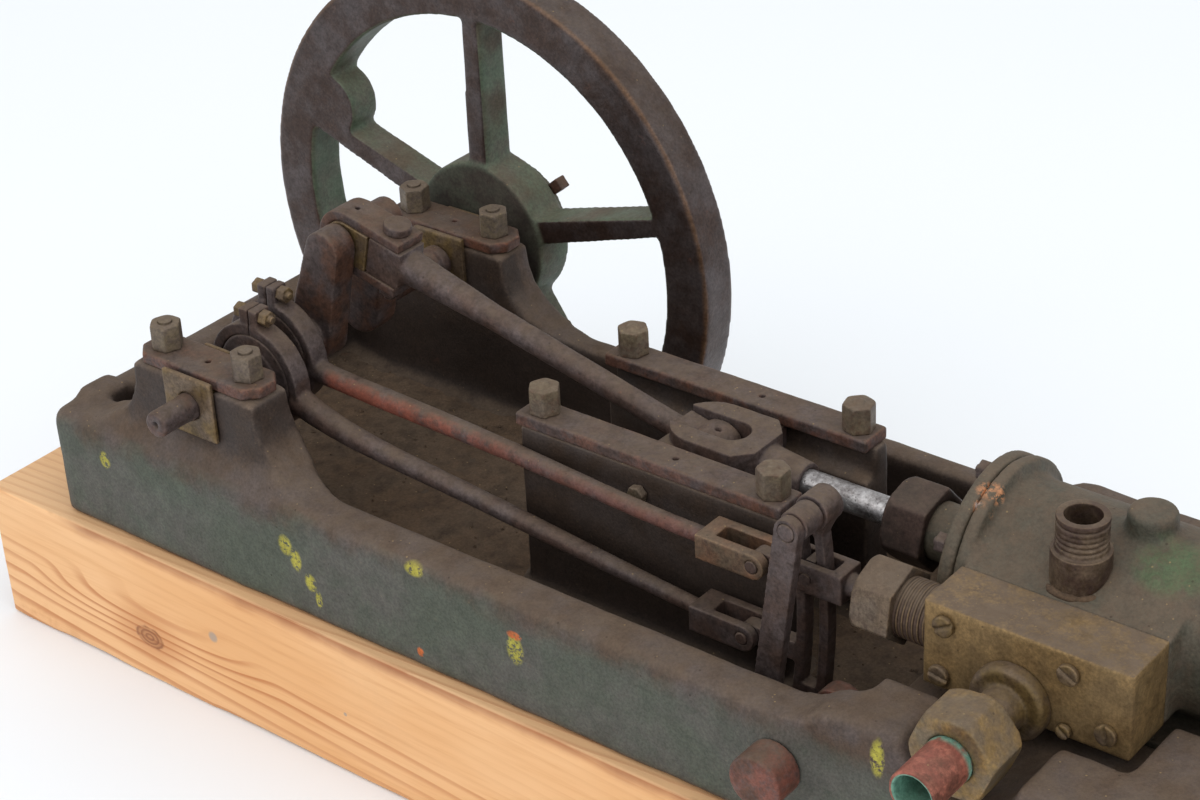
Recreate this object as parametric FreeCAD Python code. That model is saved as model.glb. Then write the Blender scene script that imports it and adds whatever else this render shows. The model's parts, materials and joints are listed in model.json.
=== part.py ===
"""Horizontal reversing mill engine, built as an assembly of separate parts.

Units are millimetres.  All dimensions below are measured from the crank axis:
X runs from the crank towards the cylinder, Y from the eccentrics towards the
flywheel and Z up.  Every part is moved by SHIFT on export, so that the
origin of the finished engine is the middle of the underside of the timber.
"""
import FreeCAD, Part
import math
import os

os.makedirs("parts", exist_ok=True)

# ---- driving dimensions ---------------------------------------------------
TIMBER_LEFT, TIMBER_RIGHT = -88.5, 360.0
TIMBER_NEAR, TIMBER_FAR = -94.0, 41.5
TIMBER_THICK = 47.6

BED_LEFT, BED_RIGHT = -59.0, 330.0
BED_NEAR, BED_FAR = -90.0, 38.5
BED_BOTTOM = -52.5
BED_FLOOR = -47.3
WALL_TOP = -17.6
NEAR_WALL_IN = -76.5
FAR_WALL_IN = 29.5
DECK_TOP = -10.0
DECK_START = 226.0

ENGINE_Y = -20.0
CRANK_THROW = 31.75
CRANK_ANGLE = 73.5
ROD_LENGTH = 133.4
SHAFT_R = 4.2
SHAFT_END_R = 4.0
SHAFT_END_Y = -97.8
SHAFT_SHOULDER_Y = -86.3
RUNNING = 0.05

NEAR_BEARING_Y = -75.1
FAR_BEARING_Y = 32.9
CAP_HALF_LENGTH = 24.0
CAP_WIDTH = 14.0
CAP_UNDER, CAP_TOP = 6.9, 10.4
CAP_BOLT_X = 16.3

FLYWHEEL_R = 88.9
FLYWHEEL_RIM_IN = 73.4
FLYWHEEL_FRONT, FLYWHEEL_BACK = 44.4, 58.5
FLYWHEEL_HUB_R = 25.0
FLYWHEEL_ARMS = (89.0, 17.0, -55.0, -127.0, 161.0)
HUB_BOSS_R = 20.0
HUB_BOSS_BACK = 64.0

ECCENTRIC_THROW = 2.4
NEAR_ECC_ANGLE = CRANK_ANGLE - 110.0
FAR_ECC_ANGLE = CRANK_ANGLE + 110.0
NEAR_ECC_Y = -57.0
FAR_ECC_Y = -45.0
STRAP_WIDTH = 6.5
STRAP_R = 17.0
STRAP_BOLT_R = 19.5
SHEAVE_R = 13.6

LINK_Y = -53.7
DROP_LINK_NEAR, DROP_LINK_FAR = -68.6, -65.4
ARM_NEAR, ARM_FAR = -65.0, -61.4
BIG_BUTT = 9.4
INLET_X, INLET_Y = 260.5, -36.5
LINK_THICK = 4.4
VALVE_Y = LINK_Y
UPPER_PIN = (179.0, -2.0)
LOWER_PIN = (175.0, -26.0)
LINK_TOP_PIN = (196.5, 19.8)
LIFT_PIN = (187.5, -42.6)
REVERSE_SHAFT = (209.0, -31.0)

GUIDE_LEFT, GUIDE_RIGHT = 89.3, 178.5
GUIDE_HALF_GAP = 14.75
GUIDE_WIDTH = 10.5
GUIDE_UNDER, GUIDE_TOP = 4.3, 8.1
GUIDE_NUT_X = (96.2, 172.8)

BORE_R = 15.9
BARREL_R = 22.0
CYLINDER_LEFT, CYLINDER_RIGHT = 229.5, 309.5
FLANGE_R = 26.2
FLANGE_THICK = 4.0
COVER_THICK = 4.0
PISTON_MID_OFFSET = 136.1

CHEST_LEFT, CHEST_RIGHT = 233.5, 290.0
CHEST_NEAR, CHEST_FAR = -64.0, -46.5
CHEST_HALF_HEIGHT = 12.2
EXHAUST_X, EXHAUST_Z = 259.0, -6.5
PIPE_R = 6.3

SHIFT = FreeCAD.Vector(-(TIMBER_LEFT + TIMBER_RIGHT) / 2.0,
                       -(TIMBER_NEAR + TIMBER_FAR) / 2.0,
                       TIMBER_THICK - BED_BOTTOM)

# ---- positions that follow from the dimensions ------------------------------
crank_rad = math.radians(CRANK_ANGLE)
PIN_X = CRANK_THROW * math.cos(crank_rad)
PIN_Z = CRANK_THROW * math.sin(crank_rad)
CROSS_X = PIN_X + math.sqrt(ROD_LENGTH ** 2 - PIN_Z ** 2)
ROD_TILT = math.degrees(math.atan2(PIN_Z, CROSS_X - PIN_X))
PISTON_X = CROSS_X + PISTON_MID_OFFSET


def sheave_centre(angle):
    """Offset of an eccentric sheave from the shaft, for its angle in degrees."""
    turn = math.radians(angle)
    return ECCENTRIC_THROW * math.cos(turn), ECCENTRIC_THROW * math.sin(turn)


NEAR_SHEAVE = sheave_centre(NEAR_ECC_ANGLE)
FAR_SHEAVE = sheave_centre(FAR_ECC_ANGLE)


# ---- shape helpers ------------------------------------------------------------
def vec(x, y, z):
    return FreeCAD.Vector(x, y, z)


def box(x0, x1, y0, y1, z0, z1):
    """Box between the given limits on each axis."""
    return Part.makeBox(x1 - x0, y1 - y0, z1 - z0, vec(x0, y0, z0))


def rod_x(x0, x1, y, z, r):
    return Part.makeCylinder(r, x1 - x0, vec(x0, y, z), vec(1, 0, 0))


def rod_y(y0, y1, x, z, r):
    return Part.makeCylinder(r, y1 - y0, vec(x, y0, z), vec(0, 1, 0))


def rod_z(z0, z1, x, y, r):
    return Part.makeCylinder(r, z1 - z0, vec(x, y, z0), vec(0, 0, 1))


def polygon_face(points):
    """Flat face from a closed list of corner vectors."""
    return Part.Face(Part.makePolygon(points + [points[0]]))


def prism_y(profile, y0, y1):
    """Extrude (x, z) corners from y0 to y1."""
    face = polygon_face([vec(x, y0, z) for x, z in profile])
    return face.extrude(vec(0, y1 - y0, 0))


def prism_z(profile, z0, z1):
    """Extrude (x, y) corners from z0 to z1."""
    face = polygon_face([vec(x, y, z0) for x, y in profile])
    return face.extrude(vec(0, 0, z1 - z0))


def hexagon(across_flats, turn=0.0):
    """Corner offsets of a hexagon, given its size across the flats."""
    r = across_flats / math.sqrt(3.0)
    return [(r * math.cos(math.radians(60 * k + turn)),
             r * math.sin(math.radians(60 * k + turn))) for k in range(6)]


def hex_x(x0, x1, y, z, across_flats, turn=0.0):
    face = polygon_face([vec(x0, y + a, z + b) for a, b in hexagon(across_flats, turn)])
    return face.extrude(vec(x1 - x0, 0, 0))


def hex_y(y0, y1, x, z, across_flats, turn=0.0):
    face = polygon_face([vec(x + a, y0, z + b) for a, b in hexagon(across_flats, turn)])
    return face.extrude(vec(0, y1 - y0, 0))


def hex_z(z0, z1, x, y, across_flats, turn=0.0):
    face = polygon_face([vec(x + a, y + b, z0) for a, b in hexagon(across_flats, turn)])
    return face.extrude(vec(0, 0, z1 - z0))


def chamfered_hex_z(z0, z1, x, y, across_flats, turn=0.0):
    """Hexagon nut body with its upper corners turned off to a cone."""
    height = z1 - z0
    top_r = across_flats / 2.0
    cone = Part.makeCone(top_r + height * 1.7, top_r, height, vec(x, y, z0), vec(0, 0, 1))
    return hex_z(z0, z1, x, y, across_flats, turn).common(cone)


def cone_between(a, b, ra, rb):
    """Tapered round bar from point a to point b."""
    axis = b.sub(a)
    if abs(ra - rb) < 1e-6:
        return Part.makeCylinder(ra, axis.Length, a, axis)
    return Part.makeCone(ra, rb, axis.Length, a, axis)


def strip_y(x0, z0, x1, z1, r, y0, y1):
    """Flat bar with two round ends, lying in the XZ plane."""
    length = math.hypot(x1 - x0, z1 - z0)
    nx = -(z1 - z0) / length * r
    nz = (x1 - x0) / length * r
    corners = [(x0 + nx, z0 + nz), (x1 + nx, z1 + nz), (x1 - nx, z1 - nz), (x0 - nx, z0 - nz)]
    ends = [rod_y(y0, y1, x0, z0, r), rod_y(y0, y1, x1, z1, r)]
    return prism_y(corners, y0, y1).multiFuse(ends).removeSplitter()


def rounded(shape, radius, pick):
    """Round the edges chosen by pick, or leave the shape sharp if that fails."""
    edges = [e for e in shape.Edges if pick(e)]
    if not edges:
        return shape
    try:
        result = shape.makeFillet(radius, edges)
    except Exception:
        return shape
    return result if result.isValid() and result.Volume > 0 else shape


def edge_mid(edge):
    box_of_edge = edge.BoundBox
    return box_of_edge.Center


def export(shape, node):
    """Move a finished part to the assembly origin and write its STEP file."""
    placed = shape.copy()
    placed.translate(SHIFT)
    solids = placed.Solids
    if len(solids) == 1:
        placed = solids[0]
    placed.exportStep("parts/" + node + ".step")


# ---- base -----------------------------------------------------------------
def timber_plinth():
    return box(TIMBER_LEFT, TIMBER_RIGHT, TIMBER_NEAR, TIMBER_FAR,
               BED_BOTTOM - TIMBER_THICK, BED_BOTTOM)


def pedestal_profile():
    """Outline of a bearing pedestal: narrow at the cap, swept out to the wall."""
    right = [(24.0, CAP_UNDER), (24.6, 0.0), (27.0, -6.5), (31.5, -11.5),
             (38.0, -15.2), (46.0, -17.2), (52.0, WALL_TOP), (52.0, BED_BOTTOM + 2.0)]
    left = [(-x, z) for x, z in reversed(right)]
    return right + left


def bearing_pedestal(face_out, face_in, wall_out, wall_in):
    """Pedestal that leans out to the wall's outside and narrows to the wall at its feet."""
    edge = 1.0 if wall_out > wall_in else -1.0
    body = prism_y(pedestal_profile(), min(wall_out, face_in), max(wall_out, face_in))
    step = face_in - wall_in
    foot = [(52.0, wall_in), (45.0, wall_in + 0.12 * step), (38.0, wall_in + 0.45 * step),
            (32.0, wall_in + 0.82 * step), (27.0, face_in)]
    foot += [(-x, y) for x, y in reversed(foot)]
    foot += [(-52.0, wall_out - edge * 4.0), (-44.0, wall_out - edge * 1.5), (-36.0, wall_out),
             (36.0, wall_out), (44.0, wall_out - edge * 1.5), (52.0, wall_out - edge * 4.0)]
    body = body.common(prism_z(foot, BED_BOTTOM, CAP_UNDER + 1.0))
    lean = [(wall_out, BED_BOTTOM), (wall_out, WALL_TOP - 3.0), (face_out, -10.6),
            (face_out, CAP_UNDER + 1.0), (face_in, CAP_UNDER + 1.0), (face_in, BED_BOTTOM)]
    return body.common(prism_along_x(lean, -60.0, 60.0))


def guide_support(side):
    """Upright wall under one guide bar, with a ledge for the crosshead wing."""
    inner = ENGINE_Y + side * (GUIDE_HALF_GAP + 3.0)
    outer = ENGINE_Y + side * (GUIDE_HALF_GAP + GUIDE_WIDTH)
    ledge = ENGINE_Y + side * (GUIDE_HALF_GAP - 1.0)
    left = GUIDE_LEFT + 1.5
    right = GUIDE_RIGHT + 1.0
    wall = box(left, right, min(inner, outer), max(inner, outer), BED_BOTTOM + 2.0, GUIDE_UNDER)
    low = box(left, right, min(ledge, outer), max(ledge, outer), BED_BOTTOM + 2.0, -4.3)
    return wall.fuse(low)


def outer_rim_edge(edge):
    """True for the edges round the outside of the rim's top."""
    middle = edge_mid(edge)
    level = edge.BoundBox.ZMin > WALL_TOP - 0.1
    beyond_x = middle.x < BED_LEFT + 11.5 or middle.x > DECK_START + 5.0
    beyond_y = middle.y < NEAR_WALL_IN - 0.5 or middle.y > FAR_WALL_IN + 0.5
    return level and (beyond_x or beyond_y)


def bedplate():
    """Open box casting with two pedestals, guide supports and the cylinder deck."""
    body = box(BED_LEFT, BED_RIGHT, BED_NEAR, BED_FAR, BED_BOTTOM, WALL_TOP)
    body = body.cut(box(BED_LEFT + 12.0, DECK_START + 4.0, NEAR_WALL_IN, FAR_WALL_IN,
                        BED_FLOOR, WALL_TOP + 1.0))
    body = rounded(body, 6.0, lambda e: abs(e.BoundBox.ZLength - (WALL_TOP - BED_BOTTOM)) < 0.1)
    body = rounded(body, 3.6, outer_rim_edge)
    deck = box(DECK_START, BED_RIGHT, BED_NEAR, BED_FAR, BED_BOTTOM, DECK_TOP)
    deck = rounded(deck, 3.6, lambda e: e.BoundBox.ZMin > DECK_TOP - 0.1 and e.BoundBox.YLength < 0.1)
    slope = prism_y([(208.0, WALL_TOP), (214.0, WALL_TOP + 1.6), (220.0, DECK_TOP - 1.8),
                     (226.5, DECK_TOP), (226.5, WALL_TOP - 4.0), (208.0, WALL_TOP - 4.0)],
                    BED_NEAR, NEAR_WALL_IN)
    far_slope = slope.mirror(vec(0, (BED_NEAR + BED_FAR) / 2.0, 0), vec(0, 1, 0))
    far_slope = far_slope.common(box(200.0, 240.0, FAR_WALL_IN, BED_FAR, -60.0, 0.0))
    body = body.multiFuse([deck, slope, far_slope])
    well = box(DECK_START - 5.0, 321.0, ENGINE_Y - 27.5, ENGINE_Y + 30.0, -28.0, 20.0)
    chest_well = box(DECK_START - 5.0, 293.0, -69.5, ENGINE_Y - 20.0, -18.5, 20.0)
    scoop = Part.makeCylinder(16.5, 30.0, vec(EXHAUST_X, -95.0, EXHAUST_Z), vec(0, 1, 0))
    body = body.cut(well).cut(chest_well).cut(scoop)
    near_post = bearing_pedestal(-83.0, -67.6, BED_NEAR, NEAR_WALL_IN)
    far_post = bearing_pedestal(40.0, 25.8, 40.0, FAR_WALL_IN)
    body = body.multiFuse([near_post, far_post, guide_support(-1), guide_support(1)])
    body = body.cut(bearing_slot(NEAR_BEARING_Y)).cut(bearing_slot(FAR_BEARING_Y))
    boss = rod_y(BED_NEAR - 1.5, BED_NEAR + 0.5, REVERSE_SHAFT[0], REVERSE_SHAFT[1], 8.5)
    body = body.fuse(boss)
    body = body.cut(rod_y(BED_NEAR - 3.0, NEAR_WALL_IN + 1.0, REVERSE_SHAFT[0],
                          REVERSE_SHAFT[1], 4.0 + RUNNING))
    for y in (NEAR_BEARING_Y, FAR_BEARING_Y):
        for x in (-CAP_BOLT_X, CAP_BOLT_X):
            body = body.cut(rod_z(-8.0, CAP_UNDER + 1.0, x, y, 2.0))
    for side in (-1, 1):
        for x in GUIDE_NUT_X:
            body = body.cut(rod_z(-8.0, GUIDE_UNDER + 1.0, x, guide_stud_y(side), 1.7))
    body = body.cut(side_bolt_holes())
    body = body.cut(rod_z(WALL_TOP - 8.0, WALL_TOP + 1.0, 198.0, BED_NEAR + 3.5, 1.2))
    for x, y in cylinder_foot_bolts():
        body = body.cut(rod_z(-40.0, -27.0, x, y, 2.0))
    lug = box(BED_LEFT + 1.0, BED_LEFT + 11.5, -78.0, -66.0, WALL_TOP - 1.0, WALL_TOP + 2.4)
    return body.fuse(lug).removeSplitter()


def bearing_slot(y):
    """Slot that takes the brass, cut down from the cap face."""
    return box(-8.0, 8.0, y - 12.0, y + 12.0, -8.0, CAP_UNDER + 1.0)


def bearing_brass(y):
    """Brass bush with a square flange on each face of its pedestal."""
    flange_low, flange_high = brass_faces(y)
    plates = [box(-9.8, 9.8, flange_low - 1.7, flange_low, -9.8, CAP_UNDER + 2.9),
              box(-9.8, 9.8, flange_high, flange_high + 1.5, -9.8, CAP_UNDER + 2.9)]
    core = box(-8.0, 8.0, flange_low - 1.0, flange_high + 1.0, -8.0, CAP_UNDER)
    body = core.multiFuse(plates)
    cap_gap = box(-12.0, 12.0, y - CAP_WIDTH / 2.0, y + CAP_WIDTH / 2.0, CAP_UNDER, 20.0)
    body = body.cut(cap_gap)
    return body.cut(rod_y(y - 14.0, y + 14.0, 0.0, 0.0, SHAFT_R + RUNNING))


def brass_faces(y):
    """Y of the two pedestal faces that a brass clasps."""
    if y < 0:
        return -83.0, -67.6
    return 25.8, 40.0


def bearing_cap(y):
    """Flat keep with round ends, an oil hole and two bolt holes."""
    half = CAP_WIDTH / 2.0
    plate = prism_z([(-CAP_HALF_LENGTH, y - 3.0), (-CAP_HALF_LENGTH + 4.0, y - half),
                     (CAP_HALF_LENGTH - 4.0, y - half), (CAP_HALF_LENGTH, y - 3.0),
                     (CAP_HALF_LENGTH, y + 3.0), (CAP_HALF_LENGTH - 4.0, y + half),
                     (-CAP_HALF_LENGTH + 4.0, y + half), (-CAP_HALF_LENGTH, y + 3.0)],
                    CAP_UNDER, CAP_TOP)
    plate = rounded(plate, 0.8, lambda e: edge_mid(e).z > CAP_TOP - 0.1)
    plate = plate.cut(rod_z(CAP_UNDER - 1.0, CAP_TOP + 1.0, 0.0, y, 0.9))
    for x in (-CAP_BOLT_X, CAP_BOLT_X):
        plate = plate.cut(rod_z(CAP_UNDER - 1.0, CAP_TOP + 1.0, x, y, 2.0))
    return plate


def bearing_cap_studs():
    """Four studs screwed into the pedestals, standing just proud of the nuts."""
    return Part.makeCompound([rod_z(-8.0, 18.9, x, y, 1.95)
                              for y in (NEAR_BEARING_Y, FAR_BEARING_Y)
                              for x in (-CAP_BOLT_X, CAP_BOLT_X)])


def nut_z(z0, z1, x, y, across_flats, hole_r, turn):
    return chamfered_hex_z(z0, z1, x, y, across_flats, turn).cut(
        rod_z(z0 - 1.0, z1 + 1.0, x, y, hole_r))


def bearing_cap_nuts():
    turns = iter((8.0, 22.0, 40.0, 13.0))
    return Part.makeCompound([nut_z(CAP_TOP, 18.4, x, y, 8.4, 1.97, next(turns))
                              for y in (NEAR_BEARING_Y, FAR_BEARING_Y)
                              for x in (-CAP_BOLT_X, CAP_BOLT_X)])


# ---- guides -----------------------------------------------------------------
def guide_stud_y(side):
    return ENGINE_Y + side * (GUIDE_HALF_GAP + GUIDE_WIDTH / 2.0)


def guide_bar(side):
    """Flat upper guide bar, with chamfered corners and an oil hole."""
    a = ENGINE_Y + side * GUIDE_HALF_GAP
    b = ENGINE_Y + side * (GUIDE_HALF_GAP + GUIDE_WIDTH)
    bar = box(GUIDE_LEFT, GUIDE_RIGHT, min(a, b), max(a, b), GUIDE_UNDER, GUIDE_TOP)
    bar = rounded(bar, 0.7, lambda e: edge_mid(e).z > GUIDE_TOP - 0.1)
    for x in GUIDE_NUT_X:
        bar = bar.cut(rod_z(0.0, 20.0, x, guide_stud_y(side), 1.7))
    return bar.cut(rod_z(0.0, 20.0, 141.0, ENGINE_Y + side * (GUIDE_HALF_GAP + 5.2), 0.9))


def guide_bar_fasteners():
    """Four studs and their nuts, which clamp the guide bars to the supports."""
    solids = []
    turns = iter((5.0, 31.0, 17.0, 44.0))
    for side in (-1, 1):
        for x in GUIDE_NUT_X:
            y = guide_stud_y(side)
            solids.append(rod_z(-8.0, 16.8, x, y, 1.65))
            solids.append(nut_z(GUIDE_TOP, 16.2, x, y, 8.2, 1.67, next(turns)))
    return Part.makeCompound(solids)


def side_bolt_holes():
    near = rod_y(-46.0, -36.0, 132.5, -3.0, 1.5)
    far = rod_y(-4.0, 6.0, 132.5, -3.0, 1.5)
    return near.fuse(far)


def guide_side_bolts():
    """Hexagon-headed bolts in the outer faces of the two guide supports."""
    outer = GUIDE_HALF_GAP + GUIDE_WIDTH
    near = hex_y(ENGINE_Y - outer - 2.6, ENGINE_Y - outer, 132.5, -3.0, 5.0, 12.0)
    near = near.fuse(rod_y(ENGINE_Y - outer - 0.5, -38.5, 132.5, -3.0, 1.47))
    far = hex_y(ENGINE_Y + outer, ENGINE_Y + outer + 2.6, 132.5, -3.0, 5.0, 0.0)
    far = far.fuse(rod_y(-1.5, ENGINE_Y + outer + 0.5, 132.5, -3.0, 1.47))
    return Part.makeCompound([near, far])


# ---- crankshaft and flywheel ---------------------------------------------------
def crank_web(y0, y1):
    """Round-ended web, wider at the shaft than at the crank pin."""
    small_r, large_r = 6.2, 8.2
    outline = [(-large_r, 0.0), (large_r, 0.0), (small_r, CRANK_THROW), (-small_r, CRANK_THROW)]
    body = prism_y(outline, y0, y1)
    body = body.multiFuse([rod_y(y0, y1, 0.0, 0.0, large_r),
                           rod_y(y0, y1, 0.0, CRANK_THROW, small_r)])
    return body.removeSplitter()


def turned_to_crank(shape):
    """Turn a part drawn with the crank straight up to the set crank angle."""
    turned = shape.copy()
    turned.rotate(vec(0, 0, 0), vec(0, 1, 0), 90.0 - CRANK_ANGLE)
    return turned


def near_crankshaft_half():
    """Shaft from its outboard end to the near web, with a centre hole in the end."""
    outboard = rod_y(SHAFT_END_Y, SHAFT_SHOULDER_Y, 0.0, 0.0, SHAFT_END_R)
    outboard = rounded(outboard, 0.6, lambda e: edge_mid(e).y < SHAFT_END_Y + 0.5)
    shaft = rod_y(SHAFT_SHOULDER_Y, -30.0, 0.0, 0.0, SHAFT_R).fuse(outboard)
    hub = rod_y(-38.5, -34.0, 0.0, 0.0, 7.0)
    body = shaft.multiFuse([crank_web(-35.0, -26.4), hub]).removeSplitter()
    centre = Part.makeCone(1.4, 0.2, 2.6, vec(0, -97.9, 0), vec(0, 1, 0))
    return turned_to_crank(body.cut(centre).cut(crank_pin_hole()))


def far_crankshaft_half():
    """Shaft from the far web through the far bearing to the flywheel."""
    shaft = rod_y(-10.0, 67.0, 0.0, 0.0, SHAFT_R)
    shaft = rounded(shaft, 0.6, lambda e: edge_mid(e).y > 66.0)
    collar = rod_y(20.5, 24.0, 0.0, 0.0, 5.6)
    body = shaft.multiFuse([crank_web(-13.6, -5.0), collar]).removeSplitter()
    return turned_to_crank(body.cut(crank_pin_hole()))


def crank_pin_hole():
    return rod_y(-26.41, -13.59, 0.0, CRANK_THROW, 0.5)


def crank_pin():
    """Journal between the two webs."""
    return rod_y(-26.1, -13.9, PIN_X, PIN_Z, 4.4)


def spoke(angle):
    """Straight tapered flywheel arm, flush with the front of the rim."""
    tip = FLYWHEEL_RIM_IN + 1.5
    arm = prism_y([(-4.3, 12.0), (4.3, 12.0), (3.2, tip), (-3.2, tip)],
                  FLYWHEEL_FRONT + 0.6, FLYWHEEL_FRONT + 12.6)
    arm.rotate(vec(0, 0, 0), vec(0, 1, 0), 90.0 - angle)
    return arm


def flywheel():
    """Five-armed wheel with a broad hub and a thickened patch inside the rim."""
    rim = rod_y(FLYWHEEL_FRONT, FLYWHEEL_BACK, 0.0, 0.0, FLYWHEEL_R)
    rim = rim.cut(rod_y(FLYWHEEL_FRONT - 1, FLYWHEEL_BACK + 1, 0.0, 0.0, FLYWHEEL_RIM_IN))
    rim = rounded(rim, 0.9, lambda e: e.Curve.TypeId == "Part::GeomCircle")
    hub = rod_y(FLYWHEEL_FRONT - 0.2, FLYWHEEL_BACK, 0.0, 0.0, FLYWHEEL_HUB_R)
    boss = rod_y(FLYWHEEL_BACK - 2.0, HUB_BOSS_BACK, 0.0, 0.0, HUB_BOSS_R)
    bulge_at = math.radians(154.5)
    bulge = rod_y(FLYWHEEL_FRONT + 0.6, FLYWHEEL_BACK - 1.5, 70.0 * math.cos(bulge_at),
                  70.0 * math.sin(bulge_at), 11.0)
    bulge = bulge.common(rod_y(FLYWHEEL_FRONT, FLYWHEEL_BACK, 0.0, 0.0, FLYWHEEL_RIM_IN + 1.5))
    arms = [spoke(angle) for angle in FLYWHEEL_ARMS]
    body = rim.multiFuse([hub, boss, bulge] + arms).removeSplitter()
    body = body.cut(rod_y(FLYWHEEL_FRONT - 2, HUB_BOSS_BACK + 2, 0.0, 0.0, SHAFT_R))
    screw_hole = set_screw_solid()
    return body.cut(screw_hole)


def set_screw_solid():
    """Square-ended set screw lying along a radius of the hub's rear boss."""
    y = FLYWHEEL_BACK + 2.9
    shank = cone_between(vec(SHAFT_R, y, 0), vec(HUB_BOSS_R + 3.4, y, 0), 1.6, 1.6)
    head = box(HUB_BOSS_R + 3.0, HUB_BOSS_R + 7.6, y - 2.0, y + 2.0, -2.0, 2.0)
    screw = shank.fuse(head)
    screw.rotate(vec(0, 0, 0), vec(0, 1, 0), -40.0)
    return screw


def flywheel_set_screw():
    return set_screw_solid()


# ---- eccentrics -----------------------------------------------------------------
def eccentric_sheave(centre, y):
    """Turned disc set off-centre on the shaft."""
    half = STRAP_WIDTH / 2.0
    disc = rod_y(y - half - 0.5, y + half + 0.5, centre[0], centre[1], 9.5)
    track = rod_y(y - half + 0.1, y + half - 0.1, centre[0], centre[1], SHEAVE_R)
    hub_side = -1.0 if y < -50.0 else 1.0
    hub = rod_y(min(y, y + hub_side * 5.6), max(y, y + hub_side * 5.6), 0.0, 0.0, 7.2)
    body = disc.multiFuse([track, hub])
    return body.cut(rod_y(y - 12.0, y + 12.0, 0.0, 0.0, SHAFT_R))


def strap_lug(centre, y, up):
    """Bolting lug of a strap, above or below the sheave."""
    x, z = centre
    z_a = z + up * (STRAP_R - 2.5)
    z_b = z + up * (STRAP_R + 5.0)
    return box(x - 3.4, x + 3.4, y - 2.9, y + 2.9, min(z_a, z_b), max(z_a, z_b))


def whole_strap(centre, y):
    half = STRAP_WIDTH / 2.0
    band = rod_y(y - half, y + half, centre[0], centre[1], STRAP_R)
    band = band.multiFuse([strap_lug(centre, y, 1), strap_lug(centre, y, -1)])
    band = band.cut(rod_y(y - 10, y + 10, centre[0], centre[1], SHEAVE_R + 0.08))
    for up in (-1, 1):
        band = band.cut(rod_x(centre[0] - 9.0, centre[0] + 9.0, y, centre[1] + up * STRAP_BOLT_R, 1.2))
    return band


def strap_back_half(centre, y):
    split = box(centre[0] - 30.0, centre[0] - 0.15, y - 10.0, y + 10.0, -40.0, 40.0)
    return whole_strap(centre, y).common(split)


def rod_along(points):
    """Smooth round rod lofted through (x, y, z, r) stations."""
    rings = []
    for k, (x, y, z, r) in enumerate(points):
        before = points[max(k - 1, 0)]
        after = points[min(k + 1, len(points) - 1)]
        along = vec(after[0] - before[0], after[1] - before[1], after[2] - before[2])
        rings.append(Part.Wire(Part.makeCircle(r, vec(x, y, z), along)))
    return Part.makeLoft(rings, True, False)


def eccentric_rod(centre, y, stations):
    """Front half of the strap forged in one with its rod."""
    split = box(centre[0] + 0.15, centre[0] + 30.0, y - 10.0, y + 10.0, -40.0, 40.0)
    front = whole_strap(centre, y).common(split)
    rod = rod_along(stations)
    rod = rod.cut(rod_y(y - 10, y + 10, centre[0], centre[1], SHEAVE_R + 1.0))
    return front.fuse(rod).removeSplitter()


def lower_eccentric_rod():
    x = NEAR_SHEAVE[0]
    y = NEAR_ECC_Y
    return eccentric_rod(NEAR_SHEAVE, y, [
        (x + 14.0, y, -5.6, 4.2), (27.0, y + 0.2, -9.6, 3.7), (62.0, y + 0.9, -14.9, 3.0),
        (112.0, y + 2.0, -20.4, 2.7), (152.0, LINK_Y, -25.2, 2.3), (160.0, LINK_Y, -26.0, 2.3)])


def upper_eccentric_rod():
    x = FAR_SHEAVE[0]
    y = FAR_ECC_Y
    return eccentric_rod(FAR_SHEAVE, y, [
        (x + 14.5, y, -2.6, 3.6), (30.0, y - 0.8, -3.0, 3.2), (100.0, y - 5.0, -2.2, 2.7),
        (154.0, LINK_Y, -2.1, 2.4), (162.0, LINK_Y, -2.1, 2.4)])


def strap_bolts(centre, y):
    """Two bolts with round nuts that close a strap, above and below."""
    solids = []
    for up in (-1, 1):
        z = centre[1] + up * STRAP_BOLT_R
        x = centre[0]
        shank = rod_x(x - 6.4, x + 7.6, y, z, 1.15)
        nut = hex_x(x + 3.4, x + 6.4, y, z, 4.4, 10.0)
        head = hex_x(x - 6.4, x - 3.4, y, z, 4.4, 25.0)
        solids.append(shank.multiFuse([nut, head]))
    return Part.makeCompound(solids)


def fork(pin, x_left, x_root, rod_z_height, half_height, half_width, slot_half, round_end):
    """Forked end for an eccentric rod, open to the right, with pin holes."""
    px, pz = pin
    body = box(x_left, px, LINK_Y - half_width, LINK_Y + half_width, pz - half_height, pz + half_height)
    body = body.fuse(rod_y(LINK_Y - half_width, LINK_Y + half_width, px, pz, half_height))
    body = body.cut(box(x_root, px + 20.0, LINK_Y - slot_half, LINK_Y + slot_half, pz - 20, pz + 20))
    body = body.cut(rod_y(LINK_Y - 20.0, LINK_Y + 20.0, px, pz, 1.9))
    socket = rod_x(x_left - 1.0, x_left + 4.0, LINK_Y, rod_z_height, round_end)
    return body.cut(socket).removeSplitter()


def upper_rod_fork():
    return fork(UPPER_PIN, 161.0, 166.0, -2.1, 3.7, 5.6, 2.6, 2.42)


def lower_rod_fork():
    return fork(LOWER_PIN, 158.0, 164.5, -26.0, 3.9, 5.2, 2.6, 2.5)


def stub_pins(pin, half_width):
    """Two short pins, one in each cheek, that stop at the slot."""
    px, pz = pin
    near = rod_y(LINK_Y - half_width - 0.3, LINK_Y - 2.6, px, pz, 1.88)
    far = rod_y(LINK_Y + 2.6, LINK_Y + half_width + 0.3, px, pz, 1.88)
    return Part.makeCompound([near, far])


# ---- link motion ------------------------------------------------------------------
def link_x(z):
    """X of the middle of the curved slot at height z."""
    radius = 196.0
    return math.sqrt(radius * radius - (z + 12.0) ** 2) - 0.6


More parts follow.
